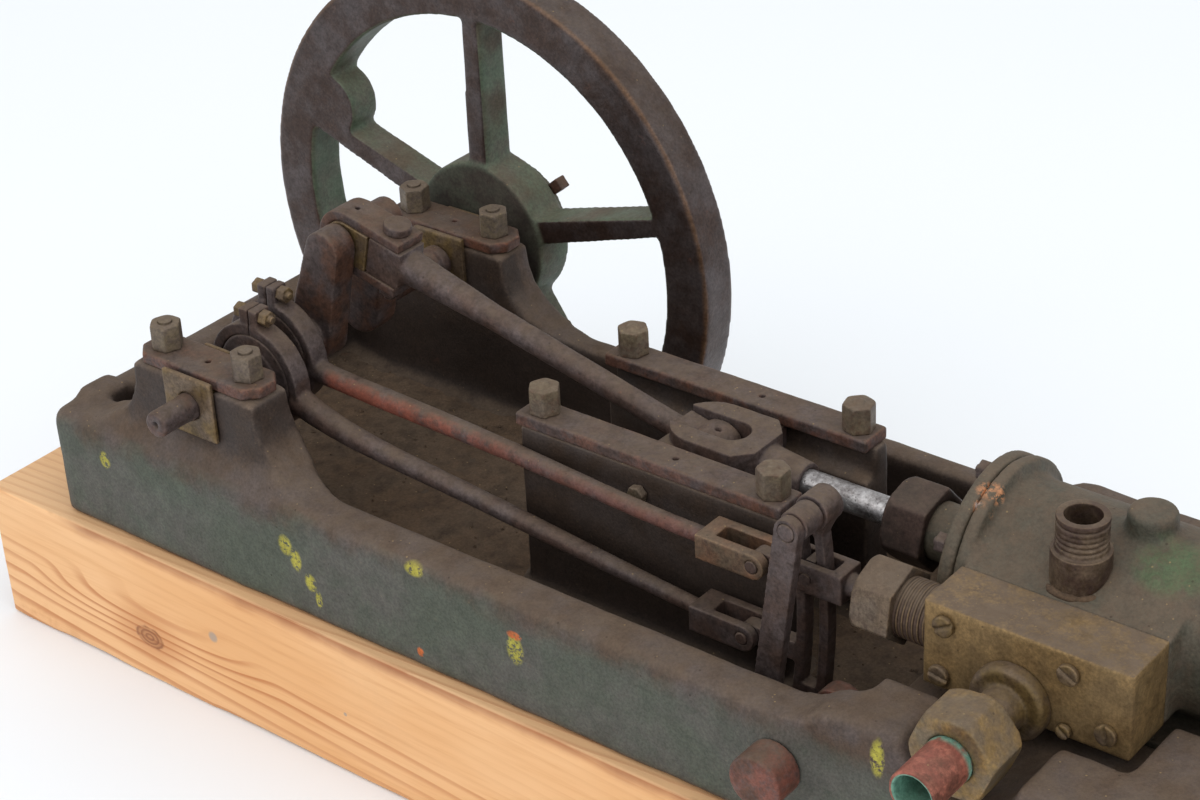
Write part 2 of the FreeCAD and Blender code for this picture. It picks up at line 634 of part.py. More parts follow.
def curved_bar(x_shift, half, z0, z1, steps):
    """Strip that follows the link curve between two heights."""
    left = []
    right = []
    for k in range(steps + 1):
        z = z0 + (z1 - z0) * k / steps
        left.append((link_x(z) + x_shift - half, z))
        right.append((link_x(z) + x_shift + half, z))
    return prism_y(left + right[::-1], LINK_Y - LINK_THICK / 2.0, LINK_Y + LINK_THICK / 2.0)


def expansion_link():
    """Curved slotted link with two rod lugs and a boss for the hanger pin."""
    y0 = LINK_Y - LINK_THICK / 2.0
    y1 = LINK_Y + LINK_THICK / 2.0
    bar = curved_bar(0.0, 4.9, -38.0, 16.0, 12)
    bar = bar.fuse(rod_y(y0, y1, link_x(-38.0), -38.0, 4.9))
    bar = bar.fuse(strip_y(link_x(15.0), 13.0, LINK_TOP_PIN[0], LINK_TOP_PIN[1], 4.8, y0, y1))
    slot = curved_bar(0.0, 2.1, -35.0, 12.0, 12)
    bar = bar.cut(slot)
    for px, pz in (UPPER_PIN, LOWER_PIN):
        lug = strip_y(px, pz, link_x(pz) - 3.6, pz, 2.9, y0, y1)
        lug = lug.cut(box(link_x(pz) - 2.1, link_x(pz) + 6.0, y0 - 1, y1 + 1, pz - 5, pz + 5))
        bar = bar.fuse(lug)
    boss = rod_y(y0 - 1.6, y1 + 1.6, LINK_TOP_PIN[0], LINK_TOP_PIN[1], 4.9)
    bar = bar.fuse(boss)
    return bar.cut(rod_y(-80.0, -30.0, LINK_TOP_PIN[0], LINK_TOP_PIN[1], 2.6)).removeSplitter()


def die_block():
    """Bronze block that slides in the link slot at the valve rod."""
    x = link_x(0.0)
    block = box(x - 1.5, x + 1.5, LINK_Y - 2.1, LINK_Y + 2.1, -4.2, 4.2)
    return rounded(block, 0.3, lambda e: e.BoundBox.YLength > 3.0)




def drop_link():
    """Flat bar that hangs the link from the lifting arm."""
    bar = strip_y(LIFT_PIN[0], LIFT_PIN[1], LINK_TOP_PIN[0], LINK_TOP_PIN[1], 3.7,
                  DROP_LINK_NEAR, DROP_LINK_FAR)
    bar = bar.cut(rod_y(-80.0, -50.0, LIFT_PIN[0], LIFT_PIN[1], 2.0 + RUNNING))
    return bar.cut(rod_y(-80.0, -50.0, LINK_TOP_PIN[0], LINK_TOP_PIN[1], 2.55))


def hanger_pin():
    """Stout shouldered pin from the drop link to the boss of the link."""
    x, z = LINK_TOP_PIN
    middle = rod_y(DROP_LINK_FAR + 0.1, LINK_Y - LINK_THICK / 2.0 - 1.9, x, z, 4.2)
    core = rod_y(DROP_LINK_NEAR - 0.3, LINK_Y + LINK_THICK / 2.0 + 2.2, x, z, 2.53)
    return middle.fuse(core)




def reversing_shaft():
    """Cross shaft through the bed wall with its lifting arm and outer boss."""
    x, z = REVERSE_SHAFT
    shaft = rod_y(-99.5, -60.4, x, z, 4.0)
    outer = rod_y(-101.5, BED_NEAR - 1.9, x, z, 7.6)
    outer = rounded(outer, 0.9, lambda e: edge_mid(e).y < -101.0)
    hub = rod_y(ARM_NEAR - 1.0, ARM_FAR + 1.0, x, z, 6.4)
    arm = strip_y(x, z, LIFT_PIN[0], LIFT_PIN[1], 3.5, ARM_NEAR, ARM_FAR)
    body = shaft.multiFuse([outer, hub, arm])
    return body.cut(rod_y(-80.0, -55.0, LIFT_PIN[0], LIFT_PIN[1], 2.0)).removeSplitter()


def lifting_pin():
    return rod_y(DROP_LINK_NEAR - 0.8, ARM_FAR + 0.4, LIFT_PIN[0], LIFT_PIN[1], 1.98)


def valve_rod():
    """Valve spindle with a square forked block that straddles the link."""
    block = box(190.2, 206.0, VALVE_Y - 4.7, VALVE_Y + 4.7, -4.4, 4.4)
    block = rounded(block, 0.5, lambda e: e.BoundBox.XLength > 15.0)
    spindle = rod_x(204.0, 272.0, VALVE_Y, 0.0, 3.0)
    body = block.fuse(spindle)
    body = body.cut(box(189.0, 202.4, VALVE_Y - 2.6, VALVE_Y + 2.6, -8.0, 8.0))
    return body.cut(rod_y(VALVE_Y - 9.0, VALVE_Y + 9.0, link_x(0.0), 0.0, 1.6)).removeSplitter()


def valve_fork_pins():
    x = link_x(0.0)
    near = rod_y(VALVE_Y - 5.0, VALVE_Y - 2.6, x, 0.0, 1.58)
    far = rod_y(VALVE_Y + 2.6, VALVE_Y + 5.0, x, 0.0, 1.58)
    return Part.makeCompound([near, far])


def slide_valve():
    """Box-shaped valve that the spindle carries over the port face."""
    body = box(252.0, 271.0, VALVE_Y - 4.6, CHEST_FAR - 0.1, -7.4, 7.4)
    recess = box(257.0, 266.0, -50.0, CHEST_FAR + 1.0, -4.6, 4.6)
    body = body.cut(recess)
    return body.cut(rod_x(250.0, 273.0, VALVE_Y, 0.0, 3.02))


# ---- crosshead, piston and connecting rod ------------------------------------------
def crosshead():
    """Block with side wings, a slot for the rod's small end and a tapered neck."""
    x = CROSS_X
    y = ENGINE_Y
    half = 11.4
    block = box(x - 2.0, x + 14.0, y - half, y + half, -8.4, 8.4)
    nose = rod_z(-8.4, 8.4, x - 0.8, y, half)
    shoulder = prism_z([(x + 13.9, y - half), (x + 18.5, y - 6.4), (x + 18.5, y + 6.4),
                        (x + 13.9, y + half)], -8.4, 8.4)
    wings = box(x - 11.8, x + 12.4, y - 17.3, y + 17.3, -3.95, 3.95)
    neck = Part.makeCone(7.0, 5.6, 13.0, vec(x + 18.0, y, 0), vec(1, 0, 0))
    body = block.multiFuse([nose, shoulder, wings, neck])
    slot = box(x - 20.0, x + 6.6, y - 5.0, y + 5.0, -12.0, 12.0)
    slot = slot.fuse(rod_z(-12.0, 12.0, x + 6.6, y, 5.0))
    body = body.cut(slot)
    body = body.cut(rod_y(y - 20.0, y + 20.0, x, 0.0, 3.2))
    return body.cut(rod_x(x + 20.0, x + 40.0, y, 0.0, 3.97)).removeSplitter()


def crosshead_pin():
    return rod_y(ENGINE_Y - 17.0, ENGINE_Y + 17.0, CROSS_X, 0.0, 3.18)


def piston_rod():
    """Ground rod with a riveted-over hexagon end that holds the piston."""
    rod = rod_x(CROSS_X + 20.0, PISTON_X + 9.0, ENGINE_Y, 0.0, 3.95)
    nut = hex_x(PISTON_X + 6.05, PISTON_X + 9.6, ENGINE_Y, 0.0, 10.5)
    return rod.fuse(nut)


def piston():
    body = rod_x(PISTON_X - 6.0, PISTON_X + 6.0, ENGINE_Y, 0.0, BORE_R - RUNNING)
    body = body.cut(rod_x(PISTON_X - 8.0, PISTON_X + 8.0, ENGINE_Y, 0.0, 3.96))
    for x in (-3.2, 1.2):
        groove = rod_x(PISTON_X + x, PISTON_X + x + 2.0, ENGINE_Y, 0.0, BORE_R + 1.0)
        groove = groove.cut(rod_x(PISTON_X + x - 1, PISTON_X + x + 3.0, ENGINE_Y, 0.0, BORE_R - 2.2))
        body = body.cut(groove)
    return body


def piston_rings():
    """Two sprung rings, each with a small gap."""
    solids = []
    for x in (-3.2, 1.2):
        band = rod_x(PISTON_X + x + 0.02, PISTON_X + x + 1.98, ENGINE_Y, 0.0, BORE_R - 0.02)
        band = band.cut(rod_x(PISTON_X + x - 1, PISTON_X + x + 3, ENGINE_Y, 0.0, BORE_R - 2.1))
        band = band.cut(box(PISTON_X - 6, PISTON_X + 6, ENGINE_Y - 0.4, ENGINE_Y + 0.4, 10.0, 20.0))
        solids.append(band)
    return Part.makeCompound(solids)


def along_rod(shape):
    """Place a part drawn from the crank pin at x = 0 towards +X onto the rod line."""
    placed = shape.copy()
    placed.rotate(vec(0, 0, 0), vec(0, 1, 0), ROD_TILT)
    placed.translate(vec(PIN_X, ENGINE_Y, PIN_Z))
    return placed




def connecting_rod():
    """Tapered round rod with a square butt, a small-end eye and an oil hole."""
    butt = box(BIG_BUTT, 22.0, -5.4, 5.4, -6.2, 6.2)
    shank = Part.makeCone(5.2, 3.7, 34.0, vec(21.0, 0, 0), vec(1, 0, 0))
    shank = shank.fuse(Part.makeCone(3.7, 3.5, ROD_LENGTH - 64.0, vec(55.0, 0, 0), vec(1, 0, 0)))
    neck = box(ROD_LENGTH - 12.0, ROD_LENGTH, -4.5, 4.5, -4.6, 4.6)
    eye = rod_y(-4.6, 4.6, ROD_LENGTH, 0.0, 7.4)
    body = butt.multiFuse([shank, neck, eye])
    body = body.cut(rod_y(-8.0, 8.0, ROD_LENGTH, 0.0, 3.18 + RUNNING))
    body = body.cut(rod_z(2.0, 9.0, ROD_LENGTH, 0.0, 0.9))
    body = body.cut(rod_z(-12.0, 12.0, 15.5, 0.0, 1.9))
    return along_rod(body.removeSplitter())


def big_end_strap():
    """U-shaped strap that wraps the brasses and holds the butt of the rod."""
    outer = box(0.0, 21.0, -5.6, 5.6, -9.4, 9.4)
    outer = outer.fuse(rod_y(-5.6, 5.6, 0.0, 0.0, 9.4))
    inner = box(0.0, 30.0, -9.0, 9.0, -6.25, 6.25)
    inner = inner.fuse(rod_y(-9.0, 9.0, 0.0, 0.0, 6.25))
    body = outer.cut(inner)
    body = body.cut(rod_z(-12.0, 12.0, 15.5, 0.0, 1.9))
    body = body.cut(rod_z(6.0, 12.0, 0.0, 0.0, 0.8))
    return along_rod(body.removeSplitter())


def big_end_brasses():
    """Two half brasses round the crank pin, with a small joint gap."""
    whole = box(0.0, BIG_BUTT - 0.05, -5.9, 5.9, -6.2, 6.2)
    whole = whole.fuse(rod_y(-5.9, 5.9, 0.0, 0.0, 6.2))
    whole = whole.cut(rod_y(-8.0, 8.0, 0.0, 0.0, 4.4 + RUNNING))
    back = whole.common(box(-20.0, -0.15, -9.0, 9.0, -9.0, 9.0))
    front = whole.common(box(0.15, 20.0, -9.0, 9.0, -9.0, 9.0))
    return along_rod(Part.makeCompound([back.Solids[0], front.Solids[0]]))


def big_end_bolt():
    """Round-headed bolt down through the strap and the butt, nut below."""
    head = rod_z(9.4, 12.2, 15.5, 0.0, 4.2)
    head = rounded(head, 0.6, lambda e: edge_mid(e).z > 12.0)
    shank = rod_z(-14.6, 9.6, 15.5, 0.0, 1.87)
    nut = hex_z(-12.6, -9.4, 15.5, 0.0, 6.6, 15.0)
    return along_rod(head.multiFuse([shank, nut]))


# ---- cylinder and steam chest -----------------------------------------------------
def cylinder_foot_bolts():
    return [(x, ENGINE_Y + side * 15.5) for x in (242.0, 297.0) for side in (-1, 1)]


def cylinder():
    """Barrel with end flanges, port block, boss on top and a foot."""
    y = ENGINE_Y
    barrel = rod_x(CYLINDER_LEFT, CYLINDER_RIGHT, y, 0.0, BARREL_R)
    front = rod_x(CYLINDER_LEFT, CYLINDER_LEFT + FLANGE_THICK, y, 0.0, FLANGE_R)
    rear = rod_x(CYLINDER_RIGHT - FLANGE_THICK, CYLINDER_RIGHT, y, 0.0, FLANGE_R)
    ports = box(CHEST_LEFT, CHEST_RIGHT, CHEST_FAR + 3.0, y - 10.0,
                -CHEST_HALF_HEIGHT, CHEST_HALF_HEIGHT)
    face = box(CHEST_LEFT, CHEST_RIGHT, CHEST_FAR, CHEST_FAR + 3.2,
               -CHEST_HALF_HEIGHT, CHEST_HALF_HEIGHT)
    web = prism_along_x([(-34.0, 17.0), (-43.0, CHEST_HALF_HEIGHT), (-34.0, 5.0)],
                        CHEST_LEFT, CHEST_RIGHT)
    foot = box(236.0, 303.0, y - 20.5, y + 20.5, -28.0, -23.5)
    saddle = box(238.0, 301.0, y - 11.0, y + 11.0, -26.0, -12.0)
    boss = rod_z(10.0, 28.0, 270.5, y, 6.4)
    boss = rounded(boss, 1.8, lambda e: edge_mid(e).z > 27.5)
    body = barrel.multiFuse([front, rear, ports, face, web, foot, saddle, boss])
    body = body.cut(rod_x(CYLINDER_LEFT - 1, CYLINDER_RIGHT + 1, y, 0.0, BORE_R))
    for x in (256.0, 261.5, 267.0):
        body = body.cut(box(x - 1.1, x + 1.1, CHEST_FAR - 1.0, CHEST_FAR + 4.0, -4.0, 4.0))
    body = body.cut(rod_z(8.0, 40.0, INLET_X, INLET_Y, 4.7))
    for x, by in cylinder_foot_bolts():
        body = body.cut(rod_z(-30.0, -22.0, x, by, 2.0))
    for spot in cover_screw_spots():
        for x0 in (CYLINDER_LEFT - 1.0, CYLINDER_RIGHT - 4.0):
            body = body.cut(rod_x(x0, x0 + 5.0, spot[0], spot[1], 1.2))
    return body.removeSplitter()




def prism_along_x(profile, x0, x1):
    """Extrude (y, z) corners from x0 to x1."""
    face = polygon_face([vec(x0, y, z) for y, z in profile])
    return face.extrude(vec(x1 - x0, 0, 0))


def cover_screw_spots():
    """(y, z) of the six studs in each cylinder cover."""
    spots = []
    for k in range(6):
        turn = math.radians(60.0 * k + 30.0)
        spots.append((ENGINE_Y + 22.4 * math.cos(turn), 22.4 * math.sin(turn)))
    return spots


def thread_grooves(x0, count, y, radius):
    """Rings cut along +X that leave the crests of a thread."""
    grooves = []
    for k in range(count):
        x = x0 + 1.5 * k
        groove = rod_x(x, x + 0.75, y, 0.0, radius + 1.0)
        grooves.append(groove.cut(rod_x(x - 1.0, x + 2.0, y, 0.0, radius - 0.7)))
    return Part.makeCompound(grooves)


def front_cover():
    """Cover on the crosshead side, with a threaded stuffing box for the gland nut."""
    plate = rod_x(CYLINDER_LEFT - COVER_THICK, CYLINDER_LEFT, ENGINE_Y, 0.0, FLANGE_R)
    spigot = rod_x(CYLINDER_LEFT - 0.5, CYLINDER_LEFT + 1.0, ENGINE_Y, 0.0, BORE_R - 0.02)
    box_boss = rod_x(205.0, CYLINDER_LEFT - COVER_THICK + 0.5, ENGINE_Y, 0.0, 8.0)
    box_boss = box_boss.cut(thread_grooves(212.3, 9, ENGINE_Y, 8.0))
    body = plate.multiFuse([spigot, box_boss])
    body = body.cut(rod_x(200.0, 235.0, ENGINE_Y, 0.0, 3.95 + RUNNING))
    for y, z in cover_screw_spots():
        body = body.cut(rod_x(CYLINDER_LEFT - 6.0, CYLINDER_LEFT + 0.2, y, z, 1.2))
    return body.removeSplitter()


def rear_cover():
    plate = rod_x(CYLINDER_RIGHT, CYLINDER_RIGHT + COVER_THICK, ENGINE_Y, 0.0, FLANGE_R)
    spigot = rod_x(CYLINDER_RIGHT - 1.0, CYLINDER_RIGHT + 0.5, ENGINE_Y, 0.0, BORE_R - 0.02)
    raised = rod_x(CYLINDER_RIGHT + COVER_THICK - 0.5, CYLINDER_RIGHT + COVER_THICK + 1.6,
                   ENGINE_Y, 0.0, 14.0)
    body = plate.multiFuse([spigot, raised])
    body = body.cut(rod_x(CYLINDER_RIGHT - 2.0, CYLINDER_RIGHT + 2.6, ENGINE_Y, 0.0, 7.0))
    for y, z in cover_screw_spots():
        body = body.cut(rod_x(CYLINDER_RIGHT - 0.2, CYLINDER_RIGHT + 6.0, y, z, 1.2))
    return body.removeSplitter()


def cover_studs():
    """Short studs with hexagon nuts round both covers."""
    solids = []
    for y, z in cover_screw_spots():
        front_x = CYLINDER_LEFT - COVER_THICK
        shank = rod_x(front_x - 4.2, front_x + 7.0, y, z, 1.18)
        solids.append(shank.fuse(hex_x(front_x - 3.2, front_x, y, z, 5.0, 20.0)))
        rear_x = CYLINDER_RIGHT + COVER_THICK
        shank = rod_x(rear_x - 7.0, rear_x + 4.2, y, z, 1.18)
        solids.append(shank.fuse(hex_x(rear_x, rear_x + 3.2, y, z, 5.0, 5.0)))
    return Part.makeCompound(solids)


def piston_gland_nut():
    """Large hexagon nut on the stuffing box, bored for the piston rod."""
    nut = hex_x(199.0, 211.5, ENGINE_Y, 0.0, 20.5, 12.0)
    cone = Part.makeCone(10.4, 18.0, 13.0, vec(198.9, ENGINE_Y, 0), vec(1, 0, 0))
    nut = nut.common(cone)
    nut = nut.cut(rod_x(204.9, 215.0, ENGINE_Y, 0.0, 8.02))
    return nut.cut(rod_x(195.0, 215.0, ENGINE_Y, 0.0, 3.95 + RUNNING))


def chest_screw_spots():
    """(x, z) of the slotted screws through the near face of the steam chest."""
    return [(239.5, 6.8), (273.5, 6.6), (284.0, -6.4), (273.0, -10.0), (238.5, -8.0)]


def steam_chest():
    """Brass chest, hollow behind, with a threaded neck for the valve gland."""
    h = CHEST_HALF_HEIGHT
    body = box(CHEST_LEFT, CHEST_RIGHT, CHEST_NEAR, CHEST_FAR, -h, h)
    body = rounded(body, 0.5, lambda e: abs(edge_mid(e).y - CHEST_NEAR) < 0.01)
    neck = rod_x(213.5, CHEST_LEFT + 0.5, VALVE_Y, 0.0, 8.0)
    neck = neck.cut(rod_x(224.0, CHEST_LEFT, ENGINE_Y, 0.0, FLANGE_R + 0.3))
    neck = neck.cut(box(224.0, CHEST_LEFT + 1.0, CHEST_FAR, CHEST_FAR + 3.0, -9.0, 9.0))
    neck = neck.cut(thread_grooves(223.6, 6, VALVE_Y, 8.0))
    body = body.fuse(neck)
    body = body.cut(box(CHEST_LEFT + 13.0, CHEST_RIGHT - 13.0, CHEST_NEAR + 4.0, CHEST_FAR + 1.0,
                        -h + 4.4, h - 4.4))
    body = body.cut(rod_x(205.0, 276.0, VALVE_Y, 0.0, 3.0 + RUNNING))
    body = body.cut(rod_y(CHEST_NEAR - 1.0, CHEST_NEAR + 5.0, EXHAUST_X, EXHAUST_Z, 3.4))
    for x, z in chest_screw_spots():
        body = body.cut(rod_y(CHEST_NEAR - 1.0, CHEST_NEAR + 3.4, x, z, 1.4))
    return body.removeSplitter()


def chest_screws():
    """Slotted cheese-head screws in the near face of the chest."""
    solids = []
    turns = iter((-30.0, 28.0, 78.0, 40.0, 10.0))
    for x, z in chest_screw_spots():
        head = rod_y(CHEST_NEAR - 1.5, CHEST_NEAR, x, z, 2.9 if z > -9.0 else 2.0)
        shank = rod_y(CHEST_NEAR - 0.5, CHEST_NEAR + 3.2, x, z, 1.38)
        slot = box(x - 4.0, x + 4.0, CHEST_NEAR - 2.0, CHEST_NEAR - 0.8, z - 0.4, z + 0.4)
        slot.rotate(vec(x, CHEST_NEAR, z), vec(0, 1, 0), next(turns))
        solids.append(head.fuse(shank).cut(slot))
    return Part.makeCompound(solids)


def valve_gland_nut():
    nut = hex_x(211.6, 223.0, VALVE_Y, 0.0, 19.0, 20.0)
    cone = Part.makeCone(9.8, 17.0, 12.0, vec(211.5, VALVE_Y, 0), vec(1, 0, 0))
    nut = nut.common(cone)
    nut = nut.cut(rod_x(213.4, 230.0, VALVE_Y, 0.0, 8.02))
    return nut.cut(rod_x(205.0, 230.0, VALVE_Y, 0.0, 3.0 + RUNNING))


def steam_inlet():
    """Upright threaded stub with a plain collar, open down the middle."""
    collar = rod_z(10.6, 22.0, INLET_X, INLET_Y, 7.6)
    thread = rod_z(21.0, 31.5, INLET_X, INLET_Y, 6.6)
    body = collar.fuse(thread)
    for k in range(5):
        groove = rod_z(23.4 + 1.5 * k, 24.0 + 1.5 * k, INLET_X, INLET_Y, 8.0)
        groove = groove.cut(rod_z(20.0, 40.0, INLET_X, INLET_Y, 6.1))
        body = body.cut(groove)
    body = body.cut(rod_z(8.0, 40.0, INLET_X, INLET_Y, 4.7))
    block = rod_x(CHEST_LEFT - 10.0, CHEST_RIGHT + 10.0, ENGINE_Y, 0.0, BARREL_R + 0.01)
    low = box(CHEST_LEFT, CHEST_RIGHT, -50.0, -20.0, -13.0, CHEST_HALF_HEIGHT + 0.01)
    web = prism_along_x([(-34.0, 17.0), (-43.0, CHEST_HALF_HEIGHT), (-34.0, 5.0)],
                        CHEST_LEFT, CHEST_RIGHT)
    return body.cut(block).cut(low).cut(web).removeSplitter()


def exhaust_stub():
    """Stub on the chest face with a thick round ring behind the union nut."""
    stub = rod_y(-82.0, CHEST_NEAR, EXHAUST_X, EXHAUST_Z, 6.0)
    washer = rod_y(-68.4, CHEST_NEAR, EXHAUST_X, EXHAUST_Z, 10.4)
    washer = rounded(washer, 1.6, lambda e: edge_mid(e).y < -68.0)
    body = stub.fuse(washer)
    return body.cut(rod_y(-110.0, -60.0, EXHAUST_X, EXHAUST_Z, 3.4)).removeSplitter()


def exhaust_union_nut():
    nut = hex_y(-93.0, -79.0, EXHAUST_X, EXHAUST_Z, 21.5, 8.0)
    cone = Part.makeCone(10.9, 22.0, 14.5, vec(EXHAUST_X, -93.1, EXHAUST_Z), vec(0, 1, 0))
    nut = nut.common(cone)
    back = Part.makeCone(22.0, 10.9, 14.5, vec(EXHAUST_X, -93.4, EXHAUST_Z), vec(0, 1, 0))
    nut = nut.common(back)
    nut = nut.cut(rod_y(-95.0, -75.0, EXHAUST_X, EXHAUST_Z, 6.22))
    return nut


def exhaust_pipe():
    """Short copper pipe, open at its outer end."""
    pipe = rod_y(-109.0, -93.0, EXHAUST_X, EXHAUST_Z, PIPE_R)
    tail = rod_y(-93.0, -82.1, EXHAUST_X, EXHAUST_Z, PIPE_R - 0.2)
    return pipe.fuse(tail).cut(rod_y(-112.0, -80.0, EXHAUST_X, EXHAUST_Z, 5.1))


def cylinder_foot_screws():
    """Four hexagon-headed screws that hold the cylinder down in the bed."""
    solids = []
    for x, y in cylinder_foot_bolts():
        head = hex_z(-23.5, -20.9, x, y, 6.0, 10.0)
        solids.append(head.fuse(rod_z(-39.0, -23.0, x, y, 1.97)))
    return Part.makeCompound(solids)


def main():
    export(timber_plinth(), "timber_plinth")
    export(bedplate(), "bedplate")
    export(bearing_brass(NEAR_BEARING_Y), "near_bearing_brass")
    export(bearing_brass(FAR_BEARING_Y), "far_bearing_brass")
    export(bearing_cap(NEAR_BEARING_Y), "near_bearing_cap")
    export(bearing_cap(FAR_BEARING_Y), "far_bearing_cap")
    export(bearing_cap_studs(), "bearing_cap_studs")
    export(bearing_cap_nuts(), "bearing_cap_nuts")
    export(guide_bar(-1), "near_guide_bar")
    export(guide_bar(1), "far_guide_bar")
    export(guide_bar_fasteners(), "guide_bar_fasteners")
    export(guide_side_bolts(), "guide_side_bolts")
    export(near_crankshaft_half(), "near_crankshaft_half")
    export(far_crankshaft_half(), "far_crankshaft_half")
    export(crank_pin(), "crank_pin")
    export(flywheel(), "flywheel")
    export(flywheel_set_screw(), "flywheel_set_screw")
    export(eccentric_sheave(NEAR_SHEAVE, NEAR_ECC_Y), "near_eccentric_sheave")
    export(eccentric_sheave(FAR_SHEAVE, FAR_ECC_Y), "far_eccentric_sheave")
    export(lower_eccentric_rod(), "lower_eccentric_rod")
    export(strap_back_half(NEAR_SHEAVE, NEAR_ECC_Y), "near_strap_back_half")
    export(strap_bolts(NEAR_SHEAVE, NEAR_ECC_Y), "near_strap_bolts")
    export(upper_eccentric_rod(), "upper_eccentric_rod")
    export(strap_back_half(FAR_SHEAVE, FAR_ECC_Y), "far_strap_back_half")
    export(strap_bolts(FAR_SHEAVE, FAR_ECC_Y), "far_strap_bolts")
    export(upper_rod_fork(), "upper_rod_fork")
    export(stub_pins(UPPER_PIN, 5.6), "upper_fork_pins")
    export(lower_rod_fork(), "lower_rod_fork")
    export(stub_pins(LOWER_PIN, 5.2), "lower_fork_pins")
    export(expansion_link(), "expansion_link")
    export(die_block(), "die_block")
    export(drop_link(), "drop_link")
    export(hanger_pin(), "link_hanger_pin")
    export(reversing_shaft(), "reversing_shaft")
    export(lifting_pin(), "lifting_arm_pin")
    export(valve_rod(), "valve_rod")
    export(valve_fork_pins(), "valve_fork_pins")
    export(slide_valve(), "slide_valve")
    export(crosshead(), "crosshead")
    export(crosshead_pin(), "crosshead_pin")
    export(piston_rod(), "piston_rod")
    export(piston(), "piston")
    export(piston_rings(), "piston_rings")
    export(connecting_rod(), "connecting_rod")
    export(big_end_strap(), "big_end_strap")
    export(big_end_brasses(), "big_end_brasses")
    export(big_end_bolt(), "big_end_bolt")
    export(cylinder(), "cylinder")
    export(front_cover(), "front_cover")
    export(rear_cover(), "rear_cover")
    export(cover_studs(), "cover_studs")
    export(piston_gland_nut(), "piston_gland_nut")
    export(steam_chest(), "steam_chest")
    export(chest_screws(), "chest_screws")
    export(valve_gland_nut(), "valve_gland_nut")
    export(steam_inlet(), "steam_inlet")
    export(exhaust_stub(), "exhaust_stub")
    export(exhaust_union_nut(), "exhaust_union_nut")
    export(exhaust_pipe(), "exhaust_pipe")
    export(cylinder_foot_screws(), "cylinder_foot_screws")


main()
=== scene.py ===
"""Finishes, worn castings, dust, stage and camera for a horizontal reversing mill engine.

Every object is in metres in the engine's own frame: +X from the crank to the
cylinder, +Y from the eccentrics to the flywheel, +Z up, with the origin in the
middle of the underside of the timber.
"""
import json
import math

import bmesh
import bpy
import numpy as np
from bpy.props import FloatProperty, FloatVectorProperty, IntProperty, PointerProperty
from mathutils import Matrix, Vector

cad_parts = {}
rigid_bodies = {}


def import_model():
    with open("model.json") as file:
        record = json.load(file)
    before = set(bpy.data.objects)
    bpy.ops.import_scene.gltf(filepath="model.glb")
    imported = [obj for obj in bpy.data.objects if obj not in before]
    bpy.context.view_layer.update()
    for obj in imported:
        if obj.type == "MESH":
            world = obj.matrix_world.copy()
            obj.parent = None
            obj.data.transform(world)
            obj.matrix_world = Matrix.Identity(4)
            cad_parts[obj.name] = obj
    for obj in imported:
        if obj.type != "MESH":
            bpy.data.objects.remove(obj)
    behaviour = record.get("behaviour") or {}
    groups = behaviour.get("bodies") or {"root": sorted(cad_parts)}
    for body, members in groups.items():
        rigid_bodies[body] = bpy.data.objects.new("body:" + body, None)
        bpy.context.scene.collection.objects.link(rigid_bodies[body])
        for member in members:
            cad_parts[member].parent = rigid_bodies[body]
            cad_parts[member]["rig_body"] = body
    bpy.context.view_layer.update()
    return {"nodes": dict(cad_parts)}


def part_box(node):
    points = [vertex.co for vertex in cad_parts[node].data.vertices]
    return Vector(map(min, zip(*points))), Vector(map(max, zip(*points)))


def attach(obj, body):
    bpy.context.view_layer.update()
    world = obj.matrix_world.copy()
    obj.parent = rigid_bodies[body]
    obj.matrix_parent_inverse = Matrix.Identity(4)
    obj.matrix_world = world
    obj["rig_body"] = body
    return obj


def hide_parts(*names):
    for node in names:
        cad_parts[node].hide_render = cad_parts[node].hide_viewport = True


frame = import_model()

bl_info = {
    "name": "Mill Engine Finishes",
    "version": (1, 0, 0),
    "blender": (4, 5, 0),
    "location": "View3D > Sidebar > Mill Engine",
    "description": "Paints, wears and dusts the parts of a small mill engine",
    "category": "Object",
}

MM = 0.001
BED_LOW, BED_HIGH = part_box("bedplate")
TIMBER_LOW, TIMBER_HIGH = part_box("timber_plinth")
WHEEL_LOW, WHEEL_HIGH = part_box("flywheel")
CHEST_LOW, CHEST_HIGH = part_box("steam_chest")
SHAFT_AT = (WHEEL_LOW + WHEEL_HIGH) / 2.0
DATUM_Y = 0.02625
DECK_X = 0.091
BED_RIM = 17.6 * MM


def at(x, y, z):
    """Point in metres, given in millimetres: x and z from the crank axis, y from the datum plane.

    The datum plane lies DATUM_Y beyond the timber's middle, on the flywheel's side."""
    return Vector((SHAFT_AT.x + x * MM, DATUM_Y + y * MM, SHAFT_AT.z + z * MM))


DUST_LOW, DUST_HIGH = at(-46.8, -76.3, -47.3), at(225.8, 29.3, -47.3)
GRIT_LOW, GRIT_HIGH = at(-45.0, -75.0, -47.3), at(221.0, 28.0, -47.3)


def tint(red, green, blue):
    """Linear colour of a paint swatch given as 0-255 display values."""
    def linear(part):
        part /= 255.0
        return part / 12.92 if part <= 0.04045 else ((part + 0.055) / 1.055) ** 2.4
    return (linear(red), linear(green), linear(blue), 1.0)


